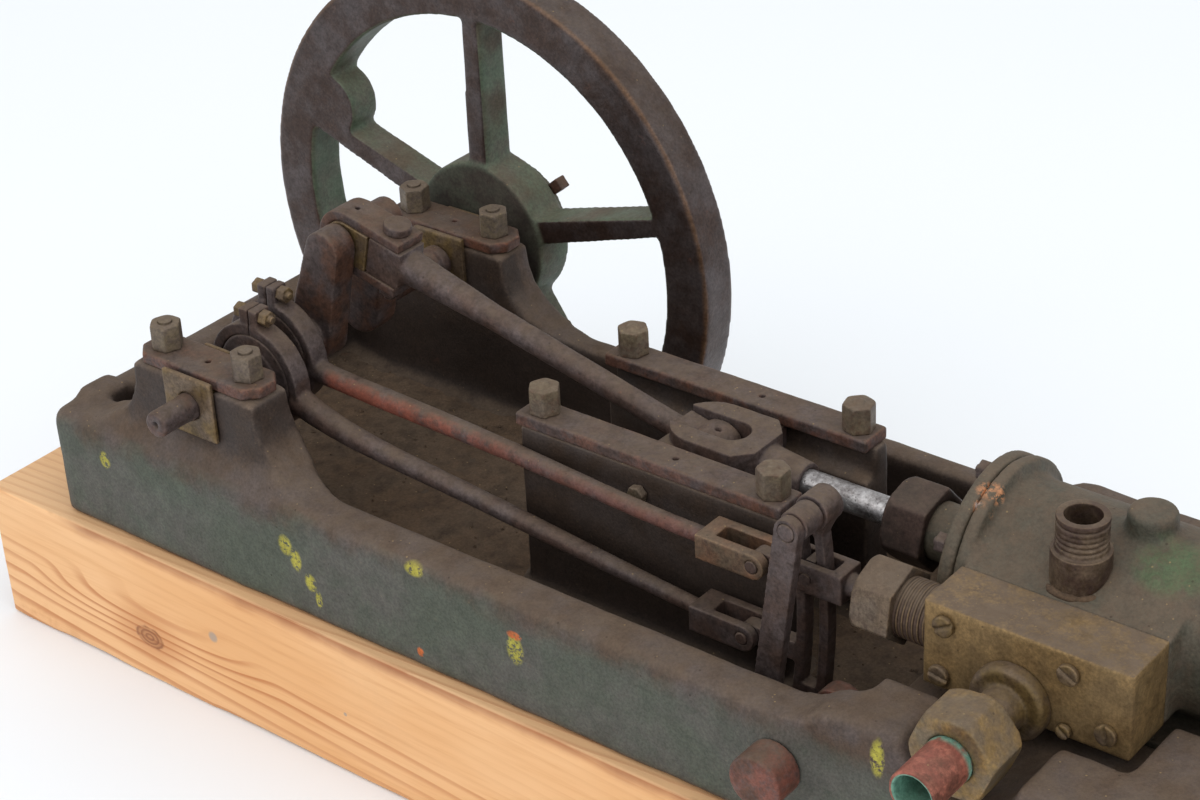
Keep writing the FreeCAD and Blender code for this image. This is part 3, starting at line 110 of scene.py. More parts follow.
# ---- shader arithmetic -------------------------------------------------------------
class Amount:
    """A number that varies over a surface, with Python's arithmetic; a | b is the larger."""

    def __init__(self, finish, socket):
        self.finish = finish
        self.socket = socket

    def _math(self, operation, *values):
        inputs = dict(enumerate(values))
        made = self.finish.node("ShaderNodeMath", {"operation": operation}, inputs)
        return Amount(self.finish, made.outputs[0])

    def __add__(self, other):
        return self._math("ADD", self, other)

    __radd__ = __add__

    def __sub__(self, other):
        return self._math("SUBTRACT", self, other)

    def __rsub__(self, other):
        return self._math("SUBTRACT", other, self)

    def __mul__(self, other):
        return self._math("MULTIPLY", self, other)

    __rmul__ = __mul__

    def __truediv__(self, other):
        return self._math("DIVIDE", self, other)

    def __rtruediv__(self, other):
        return self._math("DIVIDE", other, self)

    def __pow__(self, other):
        return self._math("POWER", self, other)

    def __or__(self, other):
        return self._math("MAXIMUM", self, other)

    def size(self):
        return self._math("ABSOLUTE", self)

    def root(self):
        return self._math("SQRT", self)

    def part(self):
        """What is left past the last whole number."""
        return self._math("FRACT", self)

    def ease(self, low, high):
        """0 at low and 1 at high, eased in between; low may be the larger."""
        made = self.finish.node(
            "ShaderNodeMapRange", {"interpolation_type": "SMOOTHSTEP"},
            {"Value": self, "From Min": low, "From Max": high})
        return Amount(self.finish, made.outputs["Result"])


DULL_SHINE = 0.3


class Finish:
    """A material under construction: its colour, roughness, metal and relief so far."""

    def __init__(self, name):
        self.material = bpy.data.materials.new(name)
        self.material.use_nodes = True
        self.tree = self.material.node_tree
        self.shader = self.tree.nodes["Principled BSDF"]
        coordinates = self.node("ShaderNodeTexCoord")
        self.place = coordinates.outputs["Object"]
        spot = self.node("ShaderNodeSeparateXYZ", {}, {0: self.place})
        self.x, self.y, self.z = (Amount(self, s) for s in spot.outputs)
        facing = self.node("ShaderNodeSeparateXYZ", {}, {0: coordinates.outputs["Normal"]})
        self.nx, self.ny, self.nz = (Amount(self, s) for s in facing.outputs)
        self.edge = self.mark("edge")
        self.hollow = self.mark("hollow")
        self.colour = None
        self.rough = None
        self.metal = None
        self.relief = []

    def node(self, kind, settings=None, inputs=None):
        """Adds a node, sets what it is told first, and then its sockets' values or links."""
        made = self.tree.nodes.new(kind)
        for key, value in (settings or {}).items():
            setattr(made, key, value)
        for key, value in (inputs or {}).items():
            value = getattr(value, "socket", value)
            if isinstance(value, bpy.types.NodeSocket):
                self.tree.links.new(value, made.inputs[key])
            else:
                made.inputs[key].default_value = value
        return made

    def mark(self, name):
        """A value stored on the piece's points."""
        found = self.node("ShaderNodeAttribute", {"attribute_name": name})
        return Amount(self, found.outputs["Fac"])

    def stretched(self, stretch):
        """The place on the piece, scaled along each axis."""
        scaled = self.node("ShaderNodeVectorMath", {"operation": "MULTIPLY"},
                           {0: self.place, 1: stretch})
        return scaled.outputs[0]

    def noise(self, millimetres, detail=3.0, seed=0.0, rough=0.55, stretch=None):
        """Cloudy value around 0.5 whose lumps are about that many millimetres across."""
        place = self.stretched(stretch) if stretch else self.place
        made = self.node(
            "ShaderNodeTexNoise", {"noise_dimensions": "4D"},
            {"Vector": place, "W": seed, "Scale": 1.0 / (millimetres * MM),
             "Detail": detail, "Roughness": rough})
        return Amount(self, made.outputs["Fac"])

    def specks(self, spacing, radius, share, seed=0.0):
        """1 on small round grains, one in some of the cells `spacing` mm apart."""
        made = self.node(
            "ShaderNodeTexVoronoi", {"voronoi_dimensions": "4D"},
            {"Vector": self.place, "W": seed, "Scale": 1.0 / (spacing * MM)})
        chosen = self.node("ShaderNodeSeparateXYZ", {}, {0: made.outputs["Color"]})
        picked = Amount(self, chosen.outputs[0]).ease(1.0 - share, 1.0 - share + 0.02)
        size = radius / spacing
        return picked * Amount(self, made.outputs["Distance"]).ease(size * 1.3, size * 0.7)

    def spot(self, centre, radii):
        """1 at a point, fading to 0 at an ellipsoid of those radii in millimetres."""
        total = None
        for axis, middle, radius in zip((self.x, self.y, self.z), centre, radii):
            square = ((axis - middle) / (radius * MM)) ** 2.0
            total = square if total is None else total + square
        return total.ease(1.0, 0.2)

    def spots(self, *places):
        """The strongest of several spots, each given by its centre and radii."""
        marks = [self.spot(centre, radii) for centre, radii in places]
        strongest = marks[0]
        for mark in marks[1:]:
            strongest = strongest | mark
        return strongest

    def mixed(self, factor, first, second, blend="MIX"):
        """One colour blended over another."""
        made = self.node("ShaderNodeMix", {"data_type": "RGBA", "blend_type": blend},
                         {0: factor, 6: first, 7: second})
        return made.outputs[2]

    def coat(self, factor, colour, rough=None, metal=None):
        """Lays a colour, and if given a roughness and metalness, over what is there."""
        self.colour = self.mixed(factor, self.colour, colour)
        if rough is not None:
            self.rough = self.rough + factor * (rough - self.rough)
        if metal is not None:
            self.metal = self.metal + factor * (metal - self.metal)

    def shade_by(self, factor):
        """Multiplies the colour by a number that may vary."""
        grey = self.node("ShaderNodeCombineXYZ", {}, {0: factor, 1: factor, 2: factor})
        self.colour = self.mixed(1.0, self.colour, grey.outputs[0], "MULTIPLY")

    def done(self):
        """Wires colour, roughness, metal and relief into the shader."""
        place = {"Base Color": self.colour, "Roughness": self.rough, "Metallic": self.metal}
        for name, value in place.items():
            self.tree.links.new(getattr(value, "socket", value), self.shader.inputs[name])
        height = self.relief[0]
        for more in self.relief[1:]:
            height = height + more
        bump = self.node("ShaderNodeBump", {}, {"Height": height, "Distance": MM, "Strength": 1.0})
        self.tree.links.new(bump.outputs[0], self.shader.inputs["Normal"])
        self.shader.inputs["Specular IOR Level"].default_value = DULL_SHINE
        return self.material


def start(name, tones, rough, metal, seed, size=14.0):
    """Base coat of three tones in soft patches with a finer mottle and a slight grain."""
    finish = Finish(name)
    patches = finish.noise(size, 4.0, seed).ease(0.38, 0.62)
    mottle = finish.noise(size * 0.22, 5.0, seed + 3.0, 0.65).ease(0.42, 0.68)
    finish.colour = finish.mixed(patches, tones[0], tones[1])
    finish.colour = finish.mixed(mottle * 0.6, finish.colour, tones[2])
    finish.rough = rough + (finish.noise(5.0, 4.0, seed + 5.0) - 0.5) * 0.25
    finish.metal = metal + (patches - 0.5) * 0.1
    return finish


def weather(finish, seed, dust, rust, dirt, bright, grain, bright_colour=None):
    """Adds rust patches, dirt in hollows, rubbed edges, dust on upward faces and grit."""
    look = bpy.context.scene.mill_engine
    rust_field = finish.noise(7.0, 6.0, seed + 11.0, 0.7)
    rusty = rust_field.ease(0.62, 0.74) * rust
    rust_tone = finish.mixed(finish.noise(1.6, 4.0, seed + 12.0).ease(0.35, 0.65),
                             look.rust_dark, look.rust_light)
    finish.coat(rusty, rust_tone, 0.92, 0.0)
    rubbed = finish.edge.ease(0.25, 0.85) * finish.noise(2.2, 4.0, seed + 13.0).ease(0.36, 0.6)
    finish.coat(rubbed * bright, bright_colour or look.bright_edge, 0.5, None)
    foul = finish.hollow.ease(0.1, 0.7) | finish.noise(18.0, 5.0, seed + 14.0).ease(0.58, 0.8) * 0.45
    finish.coat(foul * dirt, look.dirt, 0.95, 0.0)
    finish.shade_by(finish.noise(0.9, 3.0, seed + 23.0, 0.7).ease(0.3, 0.7) * 0.5 + 0.76)
    finish.shade_by(finish.noise(5.0, 3.0, seed + 24.0).ease(0.3, 0.7) * 0.24 + 0.88)
    upward = finish.nz.ease(0.25, 0.95)
    cover = finish.noise(9.0, 6.0, seed + 15.0, 0.7).ease(0.28, 0.66)
    fine = finish.noise(0.7, 2.0, seed + 16.0).ease(0.3, 0.7)
    layer = upward * (cover * 0.75 + 0.25) * (fine * 0.4 + 0.6) * dust
    dust_tone = finish.mixed(finish.noise(3.0, 4.0, seed + 17.0), look.dust_dark, look.dust_light)
    finish.coat(layer, dust_tone, 0.97, 0.0)
    sand = finish.specks(1.5, 0.26, 0.30, seed + 18.0) * (upward * 0.75 + 0.15)
    finish.coat(sand * 0.55, look.sand, 0.9, 0.0)
    grime = finish.specks(2.2, 0.34, 0.3, seed + 25.0)
    finish.coat(grime * 0.5, look.dirt, 0.9, 0.0)
    flecks = finish.specks(12.0, 0.34, 0.10, seed + 19.0)
    finish.coat(flecks, look.fleck, 0.7, 0.0)
    finish.relief.append(finish.noise(0.55, 3.0, seed + 20.0, 0.6) * grain)
    finish.relief.append(finish.noise(2.4, 3.0, seed + 21.0) * grain * 2.2)
    finish.relief.append(rusty * finish.noise(0.4, 3.0, seed + 22.0) * 0.12)
    finish.relief.append(layer * 0.05)
    return finish.done()


# ---- materials ----------------------------------------------------------------------
def bed_paint():
    """Dark green-grey paint on the outside, brown with grease and dust on the rim and inside."""
    look = bpy.context.scene.mill_engine
    finish = start("bed_paint_worn", (look.bed_green, look.bed_grey, look.bed_green), 0.62, 0.0, 1.0, 30.0)
    inset = 4.0 * MM
    outside = (finish.y.ease(BED_LOW.y + inset, BED_LOW.y + inset * 0.5)
               | finish.y.ease(BED_HIGH.y - inset, BED_HIGH.y - inset * 0.5)
               | finish.x.ease(BED_LOW.x + inset, BED_LOW.x + inset * 0.5)
               | finish.x.ease(BED_HIGH.x - inset, BED_HIGH.x - inset * 0.5))
    drift = (finish.noise(16.0, 5.0, 31.0, 0.65) - 0.5) * 20.0 * MM
    height = finish.z + drift
    rim_z = SHAFT_AT.z - BED_RIM
    brown_band = height.ease(rim_z - 9.0 * MM, rim_z + 1.0 * MM)
    inside = (1.0 - outside) | brown_band
    brown = finish.mixed(finish.noise(11.0, 5.0, 32.0).ease(0.35, 0.65),
                         look.grease_brown, look.grease_purple)
    finish.coat(inside, brown, 0.72, 0.0)
    inner = ((finish.y - BED_LOW.y).ease(6.0 * MM, 9.0 * MM)
             * (BED_HIGH.y - finish.y).ease(5.0 * MM, 8.0 * MM))
    before_deck = finish.x.ease(DECK_X + 3.0 * MM, DECK_X - 3.0 * MM)
    # Dark coat over the inside of the bed below the rim: partly grease and dirt, partly painted shade of
    # the recess.
    recess_dirt_and_shade = inner * finish.z.ease(rim_z + 2.0 * MM, rim_z - 8.0 * MM) * before_deck
    finish.coat(recess_dirt_and_shade * 0.75, look.dirt, 0.9, 0.0)
    low_part = finish.z.ease(rim_z + 30.0 * MM, rim_z + 20.0 * MM)
    # Dark coat on the lower upright walls inside the bed: partly dirt, partly painted shade falling on
    # them.
    inner_wall_dirt_and_shade = inner * (1.0 - finish.nz.ease(0.3, 0.8)) * low_part * before_deck
    finish.coat(inner_wall_dirt_and_shade * 0.7, look.dirt, 0.6, 0.0)
    chips = finish.spots(*(
        (at(x, -90.0, z), (wide, 6.0, tall)) for x, z, wide, tall in (
            (-34.7, -27.1, 2.6, 3.4), (39.3, -30.0, 3.2, 4.0), (43.0, -33.5, 2.6, 4.5),
            (48.0, -39.5, 2.6, 3.6), (50.5, -44.5, 1.6, 3.5), (123.7, -32.0, 3.4, 5.5),
            (237.5, -17.7, 2.4, 6.5), (88.4, -20.0, 4.0, 2.4))))
    broken = finish.noise(1.5, 4.0, 33.0, 0.75).ease(0.41, 0.5)
    finish.coat(chips * broken, look.old_paint, 0.6, 0.0)
    stroke = finish.spots((at(88.5, -90.0, -47.0), (1.5, 5.0, 1.8)),
                          (at(123.7, -90.0, -27.5), (3.0, 5.0, 1.6)))
    finish.coat(stroke * finish.noise(1.5, 3.0, 38.0).ease(0.38, 0.46), look.orange_chip, 0.6, 0.0)
    flakes = finish.noise(5.0, 7.0, 34.0, 0.8).ease(0.735, 0.755) * outside
    finish.coat(flakes, look.old_paint, 0.6, 0.0)
    red = finish.noise(6.0, 6.0, 35.0, 0.8).ease(0.735, 0.76)
    finish.coat(red, look.red_lead, 0.7, 0.0)
    seam = finish.z.ease(BED_LOW.z + 2.2 * MM, BED_LOW.z + 0.4 * MM)
    seam = seam * finish.noise(14.0, 4.0, 36.0).ease(0.3, 0.7)
    finish.coat(seam, look.rust_dark, 0.9, 0.0)
    bloom = finish.noise(45.0, 3.0, 37.0).ease(0.5, 0.8) * outside * (1.0 - brown_band)
    finish.coat(bloom * 0.35, look.bed_bloom, 0.6, 0.0)
    finish.relief.append((chips * broken | flakes) * -0.05)
    return weather(finish, 40.0, dust=0.75, rust=0.1, dirt=0.75, bright=0.35, grain=0.10)


def wheel_iron():
    """Machined face and rim in bare brown iron, green paint elsewhere, grime on the hub's face."""
    look = bpy.context.scene.mill_engine
    finish = start("flywheel_iron", (look.wheel_green, look.wheel_grey, look.wheel_green),
                   0.55, 0.0, 2.0, 16.0)
    across = ((finish.x - SHAFT_AT.x) ** 2.0 + (finish.z - SHAFT_AT.z) ** 2.0).root()
    machined = (finish.ny.ease(-0.75, -0.93) * across.ease(25.0 * MM, 27.0 * MM)
                | across.ease(86.6 * MM, 87.4 * MM))
    bare = finish.mixed(finish.noise(13.0, 6.0, 51.0, 0.7).ease(0.35, 0.65),
                        look.iron_brown, look.iron_purple)
    finish.coat(machined, bare, 0.34, 0.6)
    grime = finish.noise(20.0, 5.0, 52.0).ease(0.45, 0.7) * (1.0 - machined)
    finish.coat(grime * 0.75, look.grease_brown, 0.8, 0.0)
    hub = across.ease(26.0 * MM, 23.0 * MM) * finish.ny.ease(-0.4, -0.8)
    finish.coat(hub * (0.75 + finish.noise(7.0, 5.0, 53.0).ease(0.4, 0.6) * 0.2), look.hub_grime, 0.8, 0.0)
    line = finish.edge.ease(0.2, 0.6) * across.ease(84.0 * MM, 86.0 * MM)
    finish.coat(line * 0.6, look.gold_edge, 0.4, 0.4)
    return weather(finish, 60.0, dust=0.55, rust=0.25, dirt=0.6, bright=0.35, grain=0.05)


def cylinder_paint():
    """Grey-green paint dulled with dust, a fresh green patch and a scrape on the flange."""
    look = bpy.context.scene.mill_engine
    finish = start("cylinder_paint_worn", (look.cylinder_grey, look.cylinder_dark, look.dust_dark),
                   0.6, 0.0, 3.0, 20.0)
    fresh = finish.spot(at(281.0, -29.0, 20.0), (12.0, 11.0, 8.0))
    fresh = fresh * finish.noise(6.0, 4.0, 71.0).ease(0.3, 0.5)
    finish.coat(fresh * 0.75, look.fresh_green, 0.5, 0.0)
    scrape = finish.spots((at(231.5, -29.5, 23.5), (5.0, 3.4, 3.6)),
                          (at(230.5, -33.0, 18.0), (4.0, 2.8, 5.6)))
    torn = scrape * finish.noise(1.8, 4.0, 72.0, 0.7).ease(0.44, 0.52)
    finish.coat(torn, look.orange_scrape, 0.7, 0.0)
    scratch = finish.spot(at(230.4, -33.4, 18.6), (3.0, 1.1, 4.2))
    finish.coat(scratch * 0.9, look.pale_scratch, 0.4, 0.3)
    return weather(finish, 75.0, dust=0.8, rust=0.25, dirt=0.85, bright=0.35, grain=0.09)


def chest_brass():
    """Olive-brown tarnished gunmetal, dusty on top, brown and ringed at the valve gland's neck."""
    look = bpy.context.scene.mill_engine
    finish = start("steam_chest_brass", (look.chest_olive, look.chest_gold, look.chest_dark),
                   0.42, 0.5, 4.0, 17.0)
    streaks = finish.noise(6.0, 4.0, 81.0, 0.6, (1.0, 1.0, 0.15)).ease(0.45, 0.7)
    finish.coat(streaks * 0.35, look.brass_dark, 0.6, 0.3)
    neck = finish.x.ease(at(233.4, 0.0, 0.0).x, at(233.0, 0.0, 0.0).x)
    crest = ((finish.x / (1.5 * MM)).part() - 0.5).size() * 2.0
    finish.coat(neck * (0.9 - crest.ease(0.6, 0.95) * 0.5), look.gland_brown, 0.7, 0.2)
    finish.relief.append(neck * crest.ease(0.2, 0.8) * 0.6)
    low = finish.z.ease(CHEST_LOW.z + 9.0 * MM, CHEST_LOW.z)
    finish.coat(low * 0.1, look.dirt, 0.85, 0.0)
    return weather(finish, 85.0, dust=1.45, rust=0.0, dirt=0.8, bright=0.6, grain=0.03,
                   bright_colour=look.brass_bright)


def plain_brass(name, seed, dust=0.75, tones=None):
    """Tarnished brass for forks, nuts, bushes and screws."""
    look = bpy.context.scene.mill_engine
    tones = tones or (look.brass_olive, look.brass_grey, look.brass_dark)
    finish = start(name, tones, 0.45, 0.5, seed, 8.0)
    return weather(finish, seed + 1.0, dust=dust, rust=0.08, dirt=0.85, bright=0.6, grain=0.03,
                   bright_colour=look.brass_bright)


def plain_steel(name, seed, rust, dust=0.8, warm=False, extra=None, tones=None):
    """Brown-purple oxidised steel for rods, webs, caps and bars."""
    look = bpy.context.scene.mill_engine
    first = look.steel_warm if warm else look.steel_brown
    finish = start(name, tones or (first, look.steel_purple, look.steel_dark), 0.5, 0.35, seed, 9.0)
    if extra:
        extra(finish, look)
    return weather(finish, seed + 1.0, dust=dust, rust=rust, dirt=0.8, bright=0.5, grain=0.04)


def red_side(finish, look):
    """Red rust along the near and lower side of the upper rod's first half."""
    side = finish.ny.ease(-0.1, -0.6) | (finish.nz.ease(-0.1, -0.6) * 0.6)
    reach = finish.x.ease(at(110.0, 0, 0).x, at(55.0, 0, 0).x) * 0.6 + 0.4
    patch = finish.noise(9.0, 5.0, 91.0, 0.7).ease(0.3, 0.55)
    rod = finish.x.ease(at(17.0, 0, 0).x, at(22.0, 0, 0).x)
    finish.coat(side * patch * reach * rod * 0.85, look.red_rod, 0.75, 0.0)


def rusty_rims(finish, look):
    """Orange rust along the rubbed edges and lower faces of a plate."""
    patch = finish.noise(8.0, 5.0, 93.0, 0.7).ease(0.42, 0.6)
    where = finish.edge.ease(0.1, 0.5) | (1.0 - finish.nz.size().ease(0.3, 0.8)) * 0.5
    finish.coat(where * patch * 0.45, look.rust_light, 0.9, 0.0)


def worn_rod():
    """Bright pitted steel of the piston rod."""
    look = bpy.context.scene.mill_engine
    finish = start("piston_rod_bright", (look.bright_steel, look.pitted_grey, look.bright_steel),
                   0.3, 0.9, 6.0, 5.0)
    pits = finish.noise(1.1, 5.0, 95.0, 0.8).ease(0.56, 0.64)
    finish.coat(pits * 0.7, look.steel_dark, 0.75, 0.2)
    finish.relief.append(pits * -0.06)
    return weather(finish, 96.0, dust=0.25, rust=0.3, dirt=0.5, bright=0.2, grain=0.02)


def copper_pipe():
    """Red-brown copper with a verdigris bore and ring."""
    look = bpy.context.scene.mill_engine
    finish = start("exhaust_copper", (look.copper, look.copper_dark, look.copper_pale), 0.5, 0.45, 7.0, 9.0)
    middle = at(259.0, 0.0, -6.5)
    across = ((finish.x - middle.x) ** 2.0 + (finish.z - middle.z) ** 2.0).root()
    bore = across.ease(5.75 * MM, 5.4 * MM)
    ring = finish.y.ease(at(0, -95.5, 0).y, at(0, -93.6, 0).y)
    green = bore | ring * finish.noise(2.5, 4.0, 97.0).ease(0.3, 0.55)
    salts = finish.mixed(finish.noise(1.5, 3.0, 98.0), look.verdigris, look.verdigris_dark)
    finish.coat(green, salts, 0.9, 0.0)
    return weather(finish, 99.0, dust=0.35, rust=0.0, dirt=0.5, bright=0.3, grain=0.03,
                   bright_colour=look.copper_pale)


def pine():
    """Flat-sawn pine: rings about a pith line under the block, bent round a knot."""
    look = bpy.context.scene.mill_engine
    finish = Finish("timber_pine")
    knot = at(-21.9, -94.0, -83.8)
    wander = (finish.noise(70.0, 2.0, 101.0, 0.5, (0.2, 1.0, 1.0)) - 0.5) * 20.0 * MM
    fine = (finish.noise(14.0, 3.0, 102.0, 0.5, (0.12, 1.0, 1.0)) - 0.5) * 3.0 * MM
    dx = finish.x - knot.x
    dz = finish.z - knot.z
    near_face = finish.y.ease(TIMBER_LOW.y + 30.0 * MM, TIMBER_LOW.y)
    away = (dx / (26.0 * MM)) ** 2.0 + (dz / (9.0 * MM)) ** 2.0
    swell = away.ease(5.0, 0.0) * near_face
    pith = at(0.0, 30.0, -150.0)
    tilt = (finish.x - TIMBER_LOW.x) * 0.075
    bend = swell * dz.ease(-8.0 * MM, 8.0 * MM) * 9.0 * MM
    ring = ((finish.y - pith.y + wander * 0.6) ** 2.0
            + (finish.z - pith.z + wander + tilt + fine + bend) ** 2.0).root()
    turns = (ring / (2.5 * MM)).part()
    late = turns.ease(0.5, 0.9) * turns.ease(1.0, 0.93)
    clear = (finish.z + wander * 0.25 + tilt - TIMBER_HIGH.z).ease(-21.0 * MM, -13.0 * MM)
    late = late * (1.0 - clear * (1.0 - finish.nz.size()) * 0.85)
    uneven = finish.noise(30.0, 3.0, 103.0, 0.6, (0.2, 1.0, 1.0)).ease(0.3, 0.7)
    fibre = finish.noise(1.2, 3.0, 104.0, 0.7, (0.04, 1.0, 1.0))
    finish.colour = finish.mixed(finish.noise(50.0, 3.0, 105.0, 0.6, (0.4, 1.0, 1.0)).ease(0.35, 0.65),
                                 look.pine_light, look.pine_warm)
    finish.colour = finish.mixed(late * (0.35 + uneven * 0.5), finish.colour, look.pine_ring)
    finish.colour = finish.mixed(fibre.ease(0.45, 0.75) * 0.18, finish.colour, look.pine_ring)
    round_knot = ((dx / (6.4 * MM)) ** 2.0 + (dz / (4.0 * MM)) ** 2.0).root()
    heart = (round_knot + (finish.noise(4.0, 3.0, 106.0) - 0.5) * 0.8).ease(1.05, 0.75) * near_face
    halo = round_knot.ease(3.4, 0.8) * near_face
    finish.colour = finish.mixed(halo * 0.45, finish.colour, look.pine_ring)
    rings = (round_knot * 3.2).part().ease(0.3, 0.8)
    finish.colour = finish.mixed(heart * (0.45 + rings * 0.4), finish.colour, look.knot)
    stain_at = finish.z - TIMBER_HIGH.z + (finish.noise(22.0, 4.0, 107.0) - 0.5) * 5.0 * MM
    side = 1.0 - finish.nz.ease(0.5, 0.9)
    under_bed = finish.x.ease(BED_LOW.x - 6.0 * MM, BED_LOW.x + 20.0 * MM)
    stain = stain_at.ease(-5.0 * MM, 0.0) * side * under_bed
    finish.colour = finish.mixed(stain * 0.75, finish.colour, look.rust_light)
    grime = finish.noise(26.0, 6.0, 108.0, 0.7).ease(0.55, 0.8) * (finish.nz.ease(0.5, 0.9) * 0.5 + 0.2)
    finish.colour = finish.mixed(grime, finish.colour, look.pine_grime)
    end = finish.nx.size().ease(0.6, 0.9)
    finish.colour = finish.mixed(end * 0.35, finish.colour, look.pine_grime)
    corner = finish.edge.ease(0.6, 1.0) * finish.noise(7.0, 4.0, 109.0).ease(0.5, 0.66)
    finish.colour = finish.mixed(corner * 0.3, finish.colour, look.knot)
    low_left = (finish.x - TIMBER_LOW.x + (finish.z - TIMBER_LOW.z) * 2.0).ease(60.0 * MM, 5.0 * MM)
    low_left = low_left * finish.noise(12.0, 5.0, 110.0, 0.7).ease(0.4, 0.62)
    finish.colour = finish.mixed(low_left * 0.45, finish.colour, look.pine_ring)
    finish.colour = finish.mixed(finish.nz.ease(0.5, 0.9) * 0.55, finish.colour, look.pine_top)
    for x, y, z, radius in ((7.3, -94.0, -72.1, 2.2), (60.0, -94.0, -78.0, 0.8),
                            (-61.0, -60.0, -52.5, 1.2)):
        dent = finish.spot(at(x, y, z), (radius, 3.0, radius))
        finish.colour = finish.mixed(dent * 0.7, finish.colour, look.pewter)
    finish.rough = 0.62 + (fibre - 0.5) * 0.3 + late * -0.1
    finish.metal = finish.x * 0.0
    finish.relief = [fibre * 0.05, late * 0.06, heart * 0.10]
    return finish.done()


def floor_dust_finish():
    """Brown sandy dust with paler grains."""
    look = bpy.context.scene.mill_engine
    finish = start("bed_dust", (look.sand_brown, look.dust_dark, look.dirt), 0.97, 0.0, 8.0, 26.0)
    return weather(finish, 111.0, dust=0.25, rust=0.15, dirt=0.3, bright=0.0, grain=0.16)


def backdrop():
    """Pale matt studio floor with a barely visible unevenness."""
    finish = Finish("studio_floor")
    look = bpy.context.scene.mill_engine
    finish.colour = finish.mixed(finish.noise(400.0, 2.0, 120.0), look.floor_pale, look.floor_cool)
    finish.rough = 0.9 + (finish.noise(90.0, 2.0, 121.0) - 0.5) * 0.05
    finish.metal = finish.x * 0.0
    finish.relief = [finish.noise(30.0, 2.0, 122.0) * 0.01]
    return finish.done()


# ---- numpy shapes --------------------------------------------------------------------
def lumps(points, size, seed):
    """Smooth height between -1 and 1 at each point.

    Random values stand on a cubic lattice `size` apart, and each point blends the eight
    around it with the weight t*t*(3-2*t) along each axis."""
    cells = 24
    lattice = np.random.default_rng(seed).random((cells, cells, cells)) * 2.0 - 1.0
    cell = points / size
    base = np.floor(cell).astype(int)
    part = cell - base
    part = part * part * (3.0 - 2.0 * part)
    total = np.zeros(len(points))
    for corner in np.ndindex(2, 2, 2):
        weight = np.prod(np.where(np.array(corner) == 1, part, 1.0 - part), axis=1)
        i = (base + np.array(corner)) % cells
        total += weight * lattice[i[:, 0], i[:, 1], i[:, 2]]
    return total


def mesh_points(mesh):
    """Every point of a mesh, one to a row."""
    points = np.zeros(len(mesh.vertices) * 3, np.float32)
    mesh.vertices.foreach_get("co", points)
    return points.reshape(-1, 3).astype(float)


def mesh_normals(mesh):
    """The direction that each point of a mesh faces."""
    normals = np.zeros(len(mesh.vertices) * 3, np.float32)
    mesh.vertex_normals.foreach_get("vector", normals)
    return normals.reshape(-1, 3).astype(float)


def neighbour_mean(points, edges, count):
    """Each point's mean over the points it shares an edge with."""
    total = np.zeros_like(points)
    for axis in range(points.shape[1]):
        total[:, axis] = (np.bincount(edges[:, 0], points[edges[:, 1], axis], len(points))
                          + np.bincount(edges[:, 1], points[edges[:, 0], axis], len(points)))
    return total / count[:, None]


def store(mesh, name, values):
    """Keeps one number per point on the mesh, for its material to read."""
    layer = mesh.attributes.new(name, "FLOAT", "POINT")
    layer.data.foreach_set("value", values.astype(np.float32))


def wear(mesh, voxel, rounds, fillets, roughness, seed, sense):
    """Rounds, fillets and roughens an even mesh, and marks its edges and hollows.

    Edges: every point moves part of the way to the mean of its neighbours, `rounds` times.
    Fillets: only points that stand in a hollow do so, `fillets` times more.
    Roughness: points move along their normals by lumps of two sizes.
    Marks: the shift of each point after `sense` further averagings, along its normal,
    is positive on edges and negative in hollows."""
    edges = np.zeros(len(mesh.edges) * 2, np.int32)
    mesh.edges.foreach_get("vertices", edges)
    edges = edges.reshape(-1, 2)
    points = mesh_points(mesh)
    count = np.maximum(np.bincount(edges.ravel(), minlength=len(points)), 1).astype(float)
    for _ in range(rounds):
        points += (neighbour_mean(points, edges, count) - points) * 0.6
    normals = mesh_normals(mesh)
    for _ in range(fillets):
        shift = neighbour_mean(points, edges, count) - points
        outward = np.einsum("ij,ij->i", shift, normals)
        points += shift * (outward > voxel * 0.01)[:, None] * 0.8
    blurred = points.copy()
    for _ in range(sense):
        blurred += (neighbour_mean(blurred, edges, count) - blurred) * 0.7
    curve = np.einsum("ij,ij->i", points - blurred, normals) / (voxel * 0.9)
    store(mesh, "edge", np.clip(curve, 0.0, 1.0))
    store(mesh, "hollow", np.clip(-curve, 0.0, 1.0))
    if roughness:
        rough = lumps(points, voxel * 9.0, seed) + 0.45 * lumps(points, voxel * 3.0, seed + 1)
        points += normals * (rough * roughness)[:, None]
    mesh.vertices.foreach_set("co", points.astype(np.float32).ravel())
    mesh.update()


def worn_copy(node, voxel, rounds=2, fillets=0, roughness=0.0, seed=0, sense=6):
    """A softened copy of a part, in even quads `voxel` millimetres wide, that stands for it."""
    source = frame["nodes"][node]
    mesh = source.data.copy()
    work = bmesh.new()
    work.from_mesh(mesh)
    bmesh.ops.remove_doubles(work, verts=work.verts, dist=1e-6)
    work.to_mesh(mesh)
    work.free()
    blank = bpy.data.objects.new(node + "_blank", mesh)
    bpy.context.scene.collection.objects.link(blank)
    even = blank.modifiers.new("even", "REMESH")
    even.mode = "VOXEL"
    even.voxel_size = voxel * MM
    even.use_smooth_shade = True
    made = bpy.data.meshes.new_from_object(
        blank.evaluated_get(bpy.context.evaluated_depsgraph_get()))
    bpy.data.objects.remove(blank)
    wear(made, voxel * MM, rounds, fillets, roughness * MM, seed, sense)
    made.materials.clear()
    made.name = node + "_worn"
    piece = bpy.data.objects.new(node + "_worn", made)
    bpy.context.scene.collection.objects.link(piece)
    return settle(piece, frame["nodes"][node]["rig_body"], node, node)


def settle(piece, body, slot, *stands_for):
    """Attaches a new piece to the body it rides on and hides the parts it stands for; slot is not used."""
    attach(piece, body)
    if stands_for:
        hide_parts(*stands_for)
    return piece


